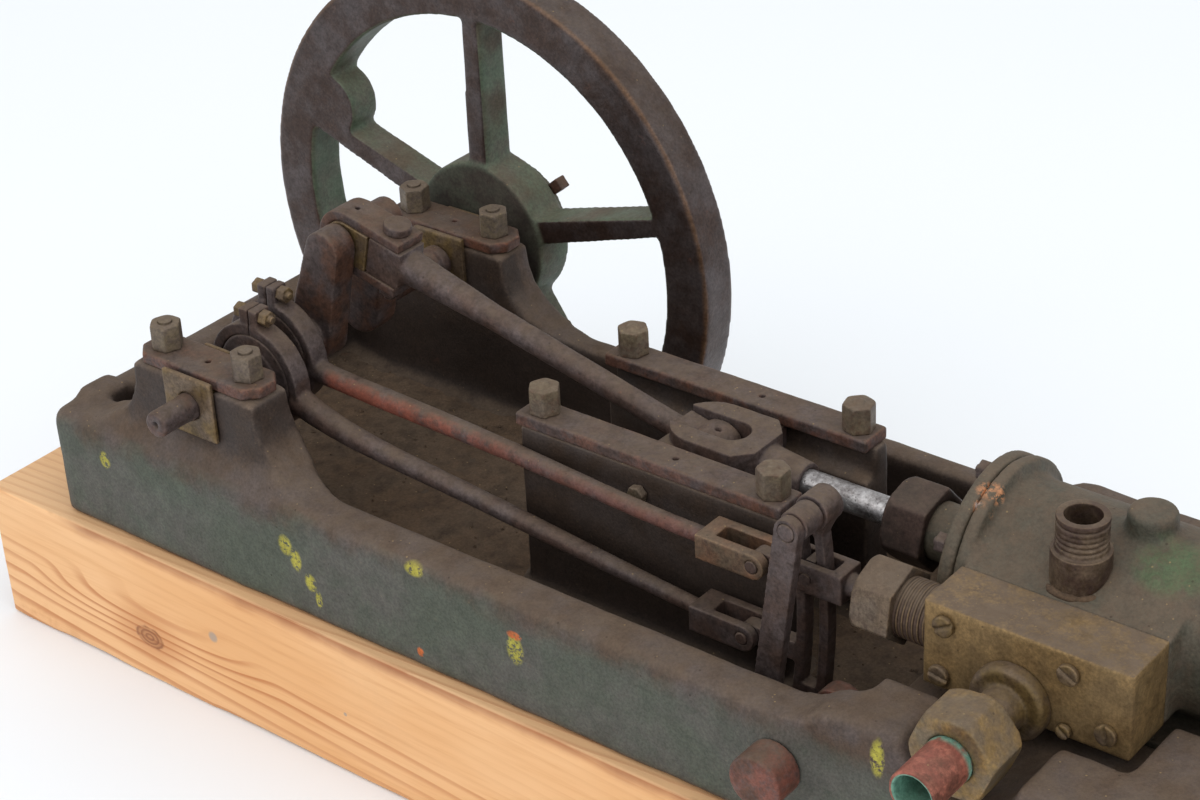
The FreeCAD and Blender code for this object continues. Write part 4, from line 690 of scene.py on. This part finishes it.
def grid_faces(rows, columns):
    """Quads of a grid of points numbered row by row."""
    first = (np.arange(rows - 1)[:, None] * columns + np.arange(columns - 1)[None, :]).ravel()
    return np.stack([first, first + 1, first + columns + 1, first + columns], axis=1)


def new_piece(name, points, faces, smooth=True):
    """An object in the scene with the given points and faces."""
    mesh = bpy.data.meshes.new(name)
    mesh.from_pydata(points.tolist(), [], faces.tolist())
    mesh.polygons.foreach_set("use_smooth", [smooth] * len(mesh.polygons))
    mesh.update()
    piece = bpy.data.objects.new(name, mesh)
    bpy.context.scene.collection.objects.link(piece)
    return piece


def block_surface(low, high, step, radius):
    """Rounded block as six grids that meet on shared points.

    A point p of the sharp block becomes c + r * (p - c) / |p - c|, where c is p clamped
    into the block shrunk by the radius r, so faces stay flat and edges turn round."""
    low, high = np.array(low), np.array(high)

    def stations(axis):
        span = high[axis] - low[axis]
        inner = np.linspace(radius, span - radius, max(int(span / step), 2) + 1)
        turn = radius * (1.0 - np.cos(np.linspace(0.0, np.pi / 2.0, 5)[:-1]))
        return low[axis] + np.concatenate([turn, inner, span - turn[::-1]])

    points = []
    faces = []
    offset = 0
    for axis in range(3):
        first, second = (axis + 1) % 3, (axis + 2) % 3
        u, v = np.meshgrid(stations(first), stations(second), indexing="ij")
        for side in (0, 1):
            sheet = np.zeros(u.shape + (3,))
            sheet[..., first], sheet[..., second] = u, v
            sheet[..., axis] = (low, high)[side][axis]
            quads = grid_faces(*u.shape) + offset
            faces.append(quads if side == 0 else quads[:, ::-1])
            points.append(sheet.reshape(-1, 3))
            offset += u.size
    points = np.concatenate(points)
    faces = np.concatenate(faces)
    core = np.clip(points, low + radius, high - radius)
    away = points - core
    length = np.linalg.norm(away, axis=1, keepdims=True)
    points = core + away / np.maximum(length, 1e-12) * radius
    _, order, back = np.unique(np.round(points / 1e-6).astype(np.int64), axis=0,
                               return_index=True, return_inverse=True)
    return points[order], back.reshape(-1)[faces]


def facing_out(piece):
    """Merges doubles and points the faces outwards."""
    work = bmesh.new()
    work.from_mesh(piece.data)
    bmesh.ops.remove_doubles(work, verts=work.verts, dist=1e-7)
    bmesh.ops.dissolve_degenerate(work, edges=work.edges, dist=1e-8)
    bmesh.ops.recalc_face_normals(work, faces=work.faces)
    work.to_mesh(piece.data)
    work.free()
    piece.data.update()
    return piece


def timber_block():
    """Sawn block with eased, slightly bruised corners."""
    eased, bruised = 1.3 * MM, 4.0 * MM
    step = bpy.context.scene.mill_engine.timber_step
    points, faces = block_surface(TIMBER_LOW, TIMBER_HIGH, step, eased)
    piece = facing_out(new_piece("timber_block", points, faces))
    points = mesh_points(piece.data)
    middle = (np.array(TIMBER_LOW) + np.array(TIMBER_HIGH)) / 2.0
    half = (np.array(TIMBER_HIGH) - np.array(TIMBER_LOW)) / 2.0
    near_edge = np.sort(half - np.abs(points - middle), axis=1)[:, 1]
    corner = np.clip(1.0 - near_edge / bruised, 0.0, 1.0)
    bruise = np.clip(lumps(points, 14.0 * MM, 5), 0.0, 1.0) * corner * 0.7 * MM
    along_grain = points * np.array([0.15, 1.0, 1.0])
    waves = np.clip(lumps(along_grain, 9.0 * MM, 6) + 1.0, 0.0, 2.0) * 0.06 * MM
    points -= mesh_normals(piece.data) * (bruise + waves)[:, None]
    piece.data.vertices.foreach_set("co", points.astype(np.float32).ravel())
    store(piece.data, "edge", corner)
    piece.data.update()
    return settle(piece, "engine_bed", "timber_plinth", "timber_plinth")


def dust_height(x, y):
    """Depth of the dust: thin and cloudy in the open, banked against the walls."""
    place = np.stack([x, y, np.zeros_like(x)], axis=1)
    open_depth = 0.35 + 0.22 * lumps(place, 17.0 * MM, 11) + 0.12 * lumps(place, 3.0 * MM, 12)
    wall = np.minimum(np.minimum(x - DUST_LOW.x, DUST_HIGH.x - x),
                      np.minimum(y - DUST_LOW.y, DUST_HIGH.y - y))
    bank = (1.5 + 0.5 * lumps(place, 8.0 * MM, 13)) * np.exp(-wall / (2.4 * MM))
    return (open_depth + bank) * MM


def bed_dust():
    """Thin lumpy layer of dust on the floor of the bed.

    Its top is a grid whose height is dust_height, its underside the same grid flat on
    the floor, and a skirt joins their borders."""
    rows, columns = 200, 84
    u, v = np.meshgrid(np.linspace(DUST_LOW.x, DUST_HIGH.x, rows),
                       np.linspace(DUST_LOW.y, DUST_HIGH.y, columns), indexing="ij")
    x, y = u.ravel(), v.ravel()
    top = np.stack([x, y, DUST_LOW.z + dust_height(x, y)], axis=1)
    under = np.stack([x, y, np.full_like(x, DUST_LOW.z - 0.2 * MM)], axis=1)
    quads = grid_faces(rows, columns)
    index = np.arange(rows * columns).reshape(rows, columns)
    loop = np.concatenate([index[0, :-1], index[:-1, -1], index[-1, :0:-1], index[:0:-1, 0]])
    after = np.roll(loop, -1)
    count = rows * columns
    skirt = np.stack([loop, after, after + count, loop + count], axis=1)
    faces = np.concatenate([quads, quads[:, ::-1] + count, skirt])
    piece = facing_out(new_piece("bed_floor_dust", np.concatenate([top, under]), faces))
    return settle(piece, "engine_bed", "bedplate")


def grit():
    """Loose grains on the dust: stretched octahedra turned and sized at random."""
    look = bpy.context.scene.mill_engine
    draw = np.random.default_rng(21)
    count = look.grain_count
    x = draw.uniform(GRIT_LOW.x, GRIT_HIGH.x, count)
    y = draw.uniform(GRIT_LOW.y, GRIT_HIGH.y, count)
    radius = draw.gamma(2.0, 0.17, count).clip(0.12, 0.95) * MM
    base = np.array([[1, 0, 0], [-1, 0, 0], [0, 1, 0], [0, -1, 0], [0, 0, 1], [0, 0, -1]], float)
    shape = base[None] * draw.uniform(0.6, 1.3, (count, 6, 1)) * radius[:, None, None]
    angle = draw.uniform(0, math.tau, count)
    c, s = np.cos(angle)[:, None], np.sin(angle)[:, None]
    turned = np.stack([shape[..., 0] * c - shape[..., 1] * s, shape[..., 0] * s + shape[..., 1] * c,
                       shape[..., 2] * 0.7], axis=2)
    height = GRIT_LOW.z + dust_height(x, y) + radius * 0.3
    turned += np.stack([x, y, height], axis=1)[:, None, :]
    sides = np.array([[0, 2, 4], [2, 1, 4], [1, 3, 4], [3, 0, 4],
                      [2, 0, 5], [1, 2, 5], [3, 1, 5], [0, 3, 5]])
    faces = (np.arange(count)[:, None, None] * 6 + sides[None]).reshape(-1, 3)
    piece = new_piece("loose_grit", turned.reshape(-1, 3), faces, smooth=False)
    return settle(piece, "engine_bed", "bedplate")


def crust_ring():
    """Ring of caked dust round the foot of the steam inlet.

    A torus whose tube radius and lean vary with lumps, flattened on the chest."""
    rows, columns = 96, 14
    around, across = np.meshgrid(np.linspace(0, math.tau, rows, endpoint=False),
                                 np.linspace(0, math.tau, columns, endpoint=False), indexing="ij")
    middle = at(260.5, -36.5, CHEST_HIGH.z * 1000.0 - SHAFT_AT.z * 1000.0)
    ring = np.stack([np.cos(around), np.sin(around), np.zeros_like(around)], axis=2)
    jitter = lumps(ring.reshape(-1, 3) * 9.0 * MM, 2.2 * MM, 31).reshape(rows, columns)
    tube = (1.0 + 0.45 * jitter) * MM
    out = 8.0 * MM + tube * np.cos(across)
    height = np.maximum(tube * np.sin(across) * 0.8, -0.15 * MM)
    points = np.stack([middle.x + out * np.cos(around), middle.y + out * np.sin(around),
                       middle.z + height], axis=2).reshape(-1, 3)
    index = np.arange(rows * columns).reshape(rows, columns)
    down, side = np.roll(index, -1, axis=0), np.roll(index, -1, axis=1)
    both = np.roll(down, -1, axis=1)
    faces = np.stack([index, down, both, side], axis=2).reshape(-1, 4)
    piece = facing_out(new_piece("inlet_dust_crust", points, faces))
    return settle(piece, "engine_bed", "steam_chest")


# ---- settings --------------------------------------------------------------------------
def swatch(name, words, red, green, blue):
    return FloatVectorProperty(name=name, description=words, subtype="COLOR", size=4, min=0.0, max=1.0,
                               default=tint(red, green, blue))


class MillEngineSettings(bpy.types.PropertyGroup):
    """Colours and sizes of the engine's finishes."""

    bed_green: swatch("Bed green", "Green-grey paint on the bed's outside", 70, 75, 64)
    bed_grey: swatch("Bed grey", "Faded patches of the bed's paint", 80, 78, 72)
    bed_bloom: swatch("Bed bloom", "Greener patches low on the bed", 74, 86, 74)
    grease_brown: swatch("Grease brown", "Greasy brown of the rims and inside", 74, 58, 46)
    grease_purple: swatch("Grease purple", "Purple-grey of the rims and inside", 80, 70, 66)
    old_paint: swatch("Old paint", "Yellow-green of an older coat that shows in chips", 158, 150, 58)
    orange_chip: swatch("Orange chip", "Orange undercoat that shows in chips", 176, 92, 44)
    red_lead: swatch("Red lead", "Orange-red primer flecks", 158, 80, 48)
    wheel_green: swatch("Wheel green", "Green paint on the wheel's arms and hub", 78, 92, 74)
    wheel_grey: swatch("Wheel grey", "Worn paint on the wheel", 84, 84, 72)
    iron_brown: swatch("Iron brown", "Bare machined iron, brown patches", 62, 48, 42)
    iron_purple: swatch("Iron purple", "Bare machined iron, grey patches", 78, 70, 69)
    hub_grime: swatch("Hub grime", "Dark grime on the hub's face", 54, 46, 40)
    gold_edge: swatch("Gold edge", "Brown-gold line on the rim's corner", 120, 84, 50)
    cylinder_grey: swatch("Cylinder grey", "Dull paint on the cylinder", 80, 73, 61)
    cylinder_dark: swatch("Cylinder dark", "Greener patches on the cylinder", 68, 68, 58)
    fresh_green: swatch("Fresh green", "Protected green paint on the barrel", 58, 92, 56)
    orange_scrape: swatch("Orange scrape", "Primer where the flange is scraped", 190, 132, 92)
    pale_scratch: swatch("Pale scratch", "Bright metal in a scratch", 220, 206, 200)
    brass_olive: swatch("Brass olive", "Olive tarnish on brass", 110, 90, 56)
    brass_gold: swatch("Brass gold", "Cleaner brass", 134, 108, 66)
    chest_olive: swatch("Chest olive", "Olive tarnish on the steam chest", 126, 104, 72)
    chest_gold: swatch("Chest gold", "Cleaner patches of the steam chest", 142, 116, 78)
    chest_dark: swatch("Chest dark", "Darker patches of the steam chest", 100, 80, 54)
    fork_brown: swatch("Fork brown", "Warm brown tarnish on the upper fork", 116, 86, 66)
    brass_grey: swatch("Brass grey", "Grey-brown tarnish on brass", 104, 88, 72)
    brass_dark: swatch("Brass dark", "Dark tarnish on brass", 72, 56, 38)
    brass_bright: swatch("Brass bright", "Rubbed edges of brass", 160, 130, 92)
    steel_brown: swatch("Steel brown", "Brown oxide on steel", 80, 63, 56)
    steel_warm: swatch("Steel warm", "Redder oxide on steel", 88, 62, 50)
    steel_purple: swatch("Steel purple", "Purple-grey oxide on steel", 86, 75, 73)
    nut_olive: swatch("Nut olive", "Olive-grey film on the nuts", 112, 99, 80)
    nut_grey: swatch("Nut grey", "Grey-brown film on the nuts", 102, 90, 78)
    gland_brown: swatch("Gland brown", "Brown film on the piston gland", 72, 56, 50)
    steel_dark: swatch("Steel dark", "Dark oxide on steel", 48, 38, 33)
    bright_edge: swatch("Rubbed edge", "Edges rubbed to metal", 132, 114, 100)
    bright_steel: swatch("Bright steel", "Polished piston rod", 176, 174, 174)
    pitted_grey: swatch("Pitted grey", "Pitted stretches of the piston rod", 128, 124, 124)
    copper: swatch("Copper", "Red-brown copper", 138, 78, 66)
    copper_dark: swatch("Copper dark", "Dark copper", 106, 66, 54)
    copper_pale: swatch("Copper pale", "Rubbed copper", 170, 106, 88)
    verdigris: swatch("Verdigris", "Blue-green copper salts", 120, 166, 146)
    verdigris_dark: swatch("Verdigris dark", "Darker copper salts", 70, 108, 92)
    red_rod: swatch("Red rust", "Red rust on the upper eccentric rod", 124, 66, 50)
    red_boss: swatch("Red boss", "Old red paint on the reversing shaft's end", 118, 72, 60)
    rust_dark: swatch("Rust dark", "Dark rust", 94, 56, 38)
    rust_light: swatch("Rust light", "Orange rust", 142, 80, 48)
    dirt: swatch("Dirt", "Black-brown grease and dirt", 40, 30, 24)
    dust_dark: swatch("Dust dark", "Darker settled dust", 84, 69, 55)
    dust_light: swatch("Dust light", "Paler settled dust", 112, 97, 82)
    sand: swatch("Sand", "Single sandy grains", 156, 132, 92)
    fleck: swatch("Fleck", "Single white flecks", 206, 198, 186)
    sand_brown: swatch("Sand brown", "Brown dust on the bed's floor", 84, 66, 50)
    pewter: swatch("Pewter", "Grey spot on the timber", 150, 146, 140)
    pine_light: swatch("Pine light", "Pale early wood", 236, 188, 138)
    pine_warm: swatch("Pine warm", "Warm early wood", 226, 172, 118)
    pine_ring: swatch("Pine ring", "Late wood lines", 184, 112, 60)
    pine_top: swatch("Pine top", "Greyer upper face of the timber", 196, 162, 124)
    pine_grime: swatch("Pine grime", "Handled and dirty timber", 190, 148, 108)
    knot: swatch("Knot", "Heart of the knot", 132, 78, 46)
    floor_pale: swatch("Floor", "Pale studio floor", 236, 239, 242)
    floor_cool: swatch("Floor cool", "Cooler patches of the floor", 233, 237, 241)
    timber_step: FloatProperty(name="Timber step", description="Width of the timber's mesh squares",
                               default=3.0 * MM, min=0.5 * MM, max=20.0 * MM, unit="LENGTH")
    grain_count: IntProperty(name="Grains", description="Loose grains on the bed's floor",
                             default=900, min=0, max=5000)
    studio_light: FloatProperty(name="Studio light", description="Brightness of the surrounding light",
                                default=0.86, min=0.0, max=5.0)
    key_light: FloatProperty(name="Key light", description="Power of the large front lamp in watts",
                             default=9.0, min=0.0, max=200.0)


def paint(piece, material):
    """Gives a new piece its one material."""
    piece.data.materials.clear()
    piece.data.materials.append(material)


def finish_node(node, material):
    """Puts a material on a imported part's own slots."""
    part = frame["nodes"][node]
    if not part.material_slots:
        part.data.materials.append(material)
    for place in part.material_slots:
        place.material = material


def worn_set(material, voxel, nodes, **how):
    """Softens and paints several parts alike."""
    for number, node in enumerate(nodes):
        paint(worn_copy(node, voxel, seed=200 + number, **how), material)


# ---- operators -------------------------------------------------------------------------
class MILL_OT_timber(bpy.types.Operator):
    """Sawn pine block under the engine"""

    bl_idname = "mill.timber"
    bl_label = "Timber"
    bl_options = {"REGISTER", "UNDO"}

    def execute(self, context):
        paint(timber_block(), pine())
        return {"FINISHED"}


class MILL_OT_bed(bpy.types.Operator):
    """Cast bed with its soft edges, paint, chips and dust"""

    bl_idname = "mill.bed"
    bl_label = "Bed"
    bl_options = {"REGISTER", "UNDO"}

    def execute(self, context):
        casting = worn_copy("bedplate", 1.45, rounds=3, fillets=8, roughness=0.22, seed=3, sense=8)
        paint(casting, bed_paint())
        dust = floor_dust_finish()
        paint(bed_dust(), dust)
        paint(grit(), dust)
        return {"FINISHED"}


class MILL_OT_bearings(bpy.types.Operator):
    """Bearing caps, bushes, studs and nuts"""

    bl_idname = "mill.bearings"
    bl_label = "Bearings"
    bl_options = {"REGISTER", "UNDO"}

    def execute(self, context):
        worn_set(plain_steel("bearing_cap_steel", 130.0, rust=0.5, extra=rusty_rims, warm=True), 0.45,
                 ("near_bearing_cap", "far_bearing_cap"), roughness=0.05)
        worn_set(plain_brass("bearing_brass", 135.0, dust=0.9), 0.5,
                 ("near_bearing_brass", "far_bearing_brass"), roughness=0.03)
        look = context.scene.mill_engine
        nuts = plain_steel("nut_steel", 140.0, rust=0.3, dust=0.9,
                           tones=(look.nut_olive, look.nut_grey, look.steel_purple))
        worn_set(nuts, 0.28, ("bearing_cap_nuts",), roughness=0.02, rounds=3)
        finish_node("bearing_cap_studs", nuts)
        return {"FINISHED"}


class MILL_OT_guides(bpy.types.Operator):
    """Guide bars with their bolts"""

    bl_idname = "mill.guides"
    bl_label = "Guides"
    bl_options = {"REGISTER", "UNDO"}

    def execute(self, context):
        bars = plain_steel("guide_bar_steel", 145.0, rust=0.45, extra=rusty_rims)
        worn_set(bars, 0.5, ("near_guide_bar", "far_guide_bar"), roughness=0.04)
        look = context.scene.mill_engine
        nuts = plain_steel("guide_nut_steel", 150.0, rust=0.4, dust=0.9,
                           tones=(look.nut_olive, look.nut_grey, look.steel_warm))
        worn_set(nuts, 0.3, ("guide_bar_fasteners", "guide_side_bolts"), roughness=0.02)
        return {"FINISHED"}


class MILL_OT_cylinder(bpy.types.Operator):
    """Cylinder casting with its covers, piston gland and studs"""

    bl_idname = "mill.cylinder"
    bl_label = "Cylinder"
    bl_options = {"REGISTER", "UNDO"}

    def execute(self, context):
        casting = cylinder_paint()
        worn_set(casting, 0.9, ("cylinder",), rounds=2, fillets=8, roughness=0.07)
        worn_set(casting, 0.7, ("front_cover", "rear_cover"), roughness=0.06)
        steel = plain_steel("cover_stud_steel", 155.0, rust=0.5)
        worn_set(steel, 0.35, ("cover_studs",), roughness=0.02)
        look = context.scene.mill_engine
        gland = plain_steel("piston_gland_iron", 160.0, rust=0.25, dust=0.5,
                            tones=(look.steel_dark, look.gland_brown, look.steel_dark))
        worn_set(gland, 0.5, ("piston_gland_nut",), roughness=0.04)
        for node in ("cylinder_foot_screws", "piston", "piston_rings"):
            finish_node(node, steel)
        return {"FINISHED"}


class MILL_OT_steam_chest(bpy.types.Operator):
    """Steam chest with its screws, gland and slide valve"""

    bl_idname = "mill.steam_chest"
    bl_label = "Steam chest"
    bl_options = {"REGISTER", "UNDO"}

    def execute(self, context):
        worn_set(chest_brass(), 0.55, ("steam_chest",), rounds=2, roughness=0.03)
        paint(crust_ring(), floor_dust_finish())
        worn_set(plain_brass("chest_screw_brass", 165.0, dust=0.6), 0.3, ("chest_screws",), rounds=1)
        look = context.scene.mill_engine
        gland = plain_brass("valve_gland_brass", 170.0, dust=0.9,
                            tones=(look.brass_grey, look.nut_grey, look.gland_brown))
        worn_set(gland, 0.4, ("valve_gland_nut",), rounds=1)
        finish_node("slide_valve", plain_brass("slide_valve_brass", 172.0))
        return {"FINISHED"}


class MILL_OT_pipework(bpy.types.Operator):
    """Steam inlet, exhaust stub, union nut and copper pipe"""

    bl_idname = "mill.pipework"
    bl_label = "Pipework"
    bl_options = {"REGISTER", "UNDO"}

    def execute(self, context):
        look = context.scene.mill_engine
        inlet = plain_brass("steam_inlet_brass", 175.0, dust=0.8,
                            tones=(look.brass_grey, look.gland_brown, look.brass_dark))
        worn_set(inlet, 0.26, ("steam_inlet",), rounds=1)
        worn_set(plain_brass("exhaust_stub_brass", 180.0, dust=0.8), 0.4, ("exhaust_stub",), rounds=2)
        union_nut = plain_brass("union_nut_brass", 185.0, dust=0.9,
                                tones=(look.brass_gold, look.nut_olive, look.brass_grey))
        worn_set(union_nut, 0.45, ("exhaust_union_nut",), rounds=2)
        worn_set(copper_pipe(), 0.35, ("exhaust_pipe",), rounds=1, roughness=0.03)
        return {"FINISHED"}


class MILL_OT_crankshaft(bpy.types.Operator):
    """Crankshaft, webs and crank pin"""

    bl_idname = "mill.crankshaft"
    bl_label = "Crankshaft"
    bl_options = {"REGISTER", "UNDO"}

    def execute(self, context):
        steel = plain_steel("crank_steel", 190.0, rust=0.5, warm=True)
        worn_set(steel, 0.5, ("near_crankshaft_half", "far_crankshaft_half"), rounds=3, roughness=0.05)
        finish_node("crank_pin", steel)
        return {"FINISHED"}


class MILL_OT_flywheel(bpy.types.Operator):
    """Five-armed flywheel with its set screw"""

    bl_idname = "mill.flywheel"
    bl_label = "Flywheel"
    bl_options = {"REGISTER", "UNDO"}

    def execute(self, context):
        worn_set(wheel_iron(), 0.85, ("flywheel",), rounds=2, fillets=14, roughness=0.07)
        worn_set(plain_steel("set_screw_steel", 195.0, rust=1.0, warm=True), 0.3, ("flywheel_set_screw",))
        return {"FINISHED"}


class MILL_OT_eccentrics(bpy.types.Operator):
    """Eccentric sheaves, straps, rods and forks"""

    bl_idname = "mill.eccentrics"
    bl_label = "Eccentrics"
    bl_options = {"REGISTER", "UNDO"}

    def execute(self, context):
        sheave = plain_steel("sheave_steel", 200.0, rust=0.3)
        worn_set(sheave, 0.4, ("near_eccentric_sheave", "far_eccentric_sheave"), roughness=0.02)
        strap = plain_steel("strap_steel", 205.0, rust=0.2)
        worn_set(strap, 0.35, ("near_strap_back_half", "far_strap_back_half"), roughness=0.03)
        worn_set(plain_steel("lower_rod_steel", 210.0, rust=0.35), 0.45, ("lower_eccentric_rod",),
                 rounds=3, fillets=4, roughness=0.05)
        worn_set(plain_steel("upper_rod_steel", 215.0, rust=0.45, extra=red_side), 0.45,
                 ("upper_eccentric_rod",), rounds=3, fillets=4, roughness=0.05)
        bolts = plain_brass("strap_bolt_brass", 220.0, dust=0.8)
        worn_set(bolts, 0.26, ("near_strap_bolts", "far_strap_bolts"), rounds=1)
        look = context.scene.mill_engine
        fork = plain_brass("upper_fork_brass", 225.0, dust=0.6,
                           tones=(look.fork_brown, look.brass_grey, look.gland_brown))
        worn_set(fork, 0.35, ("upper_rod_fork",), rounds=1)
        worn_set(plain_steel("lower_fork_steel", 230.0, rust=0.3), 0.35, ("lower_rod_fork",), rounds=2)
        pins = plain_steel("fork_pin_steel", 235.0, rust=0.4)
        worn_set(pins, 0.3, ("upper_fork_pins", "lower_fork_pins"), rounds=1)
        return {"FINISHED"}


class MILL_OT_connecting_rod(bpy.types.Operator):
    """Connecting rod with its strap, brasses and bolt"""

    bl_idname = "mill.connecting_rod"
    bl_label = "Connecting rod"
    bl_options = {"REGISTER", "UNDO"}

    def execute(self, context):
        worn_set(plain_steel("connecting_rod_steel", 240.0, rust=0.35), 0.5, ("connecting_rod",),
                 rounds=3, fillets=6, roughness=0.05)
        worn_set(plain_steel("big_end_steel", 245.0, rust=0.4, warm=True), 0.4, ("big_end_strap",),
                 rounds=3, roughness=0.04)
        worn_set(plain_brass("big_end_brass", 250.0), 0.4, ("big_end_brasses",), rounds=1)
        worn_set(plain_steel("big_end_bolt_steel", 255.0, rust=0.3), 0.35, ("big_end_bolt",), rounds=1)
        return {"FINISHED"}


class MILL_OT_crosshead(bpy.types.Operator):
    """Crosshead and piston rod"""

    bl_idname = "mill.crosshead"
    bl_label = "Crosshead"
    bl_options = {"REGISTER", "UNDO"}

    def execute(self, context):
        steel = plain_steel("crosshead_steel", 260.0, rust=0.35, dust=1.0)
        worn_set(steel, 0.4, ("crosshead", "crosshead_pin"), rounds=2, roughness=0.04)
        worn_set(worn_rod(), 0.4, ("piston_rod",), rounds=2, roughness=0.02)
        return {"FINISHED"}


class MILL_OT_valve_gear(bpy.types.Operator):
    """Expansion link, die block and valve rod"""

    bl_idname = "mill.valve_gear"
    bl_label = "Valve gear"
    bl_options = {"REGISTER", "UNDO"}

    def execute(self, context):
        steel = plain_steel("link_steel", 265.0, rust=0.35, dust=0.9)
        worn_set(steel, 0.35, ("expansion_link", "link_hanger_pin", "drop_link"), roughness=0.03)
        worn_set(plain_steel("valve_rod_steel", 270.0, rust=0.3), 0.35, ("valve_rod",), roughness=0.03)
        for node in ("die_block", "valve_fork_pins"):
            finish_node(node, steel)
        return {"FINISHED"}


class MILL_OT_reversing_gear(bpy.types.Operator):
    """Reversing shaft with its arm and pin"""

    bl_idname = "mill.reversing_gear"
    bl_label = "Reversing gear"
    bl_options = {"REGISTER", "UNDO"}

    def execute(self, context):
        look = context.scene.mill_engine
        steel = plain_steel("reversing_steel", 275.0, rust=0.7, warm=True,
                            tones=(look.red_boss, look.steel_warm, look.steel_purple))
        worn_set(steel, 0.45, ("reversing_shaft",), rounds=2, roughness=0.05)
        finish_node("lifting_arm_pin", steel)
        return {"FINISHED"}


FLOOR_HALF = 4.0


class MILL_OT_stage(bpy.types.Operator):
    """Pale floor, soft light and camera"""

    bl_idname = "mill.stage"
    bl_label = "Stage"
    bl_options = {"REGISTER", "UNDO"}

    def execute(self, context):
        look = context.scene.mill_engine
        half = FLOOR_HALF
        corners = np.array([[-half, -half, 0], [half, -half, 0], [half, half, 0], [-half, half, 0]])
        floor = new_piece("studio_floor", corners, np.array([[0, 1, 2, 3]]))
        paint(floor, backdrop())
        soft_light(look)
        place_camera()
        return {"FINISHED"}


# name, place, side of its square, share of the key lamp's power
LAMPS = (
    ("key_lamp", (-0.55, -1.25, 1.30), 1.5, 1.0),
    ("top_lamp", (0.25, 0.15, 1.75), 1.8, 0.9),
    ("side_lamp", (1.35, -0.35, 0.95), 1.1, 0.45),
)
LAMPS_AIM = (0.0, 0.0, 0.08)


def soft_light(look):
    """Even surrounding light with three large square lamps aimed at the engine."""
    world = bpy.data.worlds.new("studio")
    world.use_nodes = True
    sky = world.node_tree.nodes["Background"]
    sky.inputs["Color"].default_value = (0.97, 0.985, 1.0, 1.0)
    sky.inputs["Strength"].default_value = look.studio_light
    bpy.context.scene.world = world
    for name, place, size, share in LAMPS:
        lamp = bpy.data.lights.new(name, "AREA")
        lamp.shape = "SQUARE"
        lamp.size = size
        lamp.energy = look.key_light * share
        holder = bpy.data.objects.new(name, lamp)
        holder.location = place
        aim = Vector(LAMPS_AIM) - Vector(place)
        holder.rotation_euler = aim.to_track_quat("-Z", "Y").to_euler()
        bpy.context.scene.collection.objects.link(holder)
    bpy.context.scene.view_settings.view_transform = "Standard"


CAMERA_AT = (0.37588, -0.48919, 0.47553)
CAMERA_AZIMUTH = math.radians(39.77)
CAMERA_ELEVATION = math.radians(30.03)
CAMERA_ROLL = math.radians(-3.06)
CAMERA_LENS = 79.5


def place_camera():
    """Long lens looking down on the engine from the cylinder end of its near side."""
    azimuth, elevation, roll = CAMERA_AZIMUTH, CAMERA_ELEVATION, CAMERA_ROLL
    back = Vector((math.sin(azimuth) * math.cos(elevation), -math.cos(azimuth) * math.cos(elevation),
                   math.sin(elevation)))
    right = Vector((math.cos(azimuth), math.sin(azimuth), 0.0))
    up = back.cross(right)
    across = right * math.cos(roll) + up * math.sin(roll)
    above = up * math.cos(roll) - right * math.sin(roll)
    data = bpy.data.cameras.new("bench_camera")
    data.sensor_width = 36.0
    data.lens = CAMERA_LENS
    data.clip_start = 0.01
    data.clip_end = 30.0
    camera = bpy.data.objects.new("bench_camera", data)
    turn = Matrix((across, above, back)).transposed().to_4x4()
    camera.matrix_world = Matrix.Translation(CAMERA_AT) @ turn
    bpy.context.scene.collection.objects.link(camera)
    bpy.context.scene.camera = camera


OPERATORS = (
    MILL_OT_timber, MILL_OT_bed, MILL_OT_bearings, MILL_OT_guides, MILL_OT_cylinder, MILL_OT_steam_chest,
    MILL_OT_pipework, MILL_OT_crankshaft, MILL_OT_flywheel, MILL_OT_eccentrics, MILL_OT_connecting_rod,
    MILL_OT_crosshead, MILL_OT_valve_gear, MILL_OT_reversing_gear, MILL_OT_stage,
)


class MILL_PT_panel(bpy.types.Panel):
    """Lists the engine's pieces in the sidebar"""

    bl_label = "Mill Engine"
    bl_idname = "MILL_PT_panel"
    bl_space_type = "VIEW_3D"
    bl_region_type = "UI"
    bl_category = "Mill Engine"

    def draw(self, context):
        for operator in OPERATORS:
            self.layout.operator(operator.bl_idname)
        for name in ("bed_green", "dust_light", "studio_light", "key_light", "grain_count"):
            self.layout.prop(context.scene.mill_engine, name)


CLASSES = (MillEngineSettings,) + OPERATORS + (MILL_PT_panel,)


def register():
    """Registers the classes and puts the settings on the scene."""
    for cls in CLASSES:
        bpy.utils.register_class(cls)
    bpy.types.Scene.mill_engine = PointerProperty(type=MillEngineSettings)


def unregister():
    """Takes back what register did."""
    del bpy.types.Scene.mill_engine
    for cls in reversed(CLASSES):
        bpy.utils.unregister_class(cls)


def main():
    """Runs every operator in order."""
    register()
    for operator in OPERATORS:
        group, name = operator.bl_idname.split(".")
        getattr(getattr(bpy.ops, group), name)()


if __name__ == "__main__":
    main()
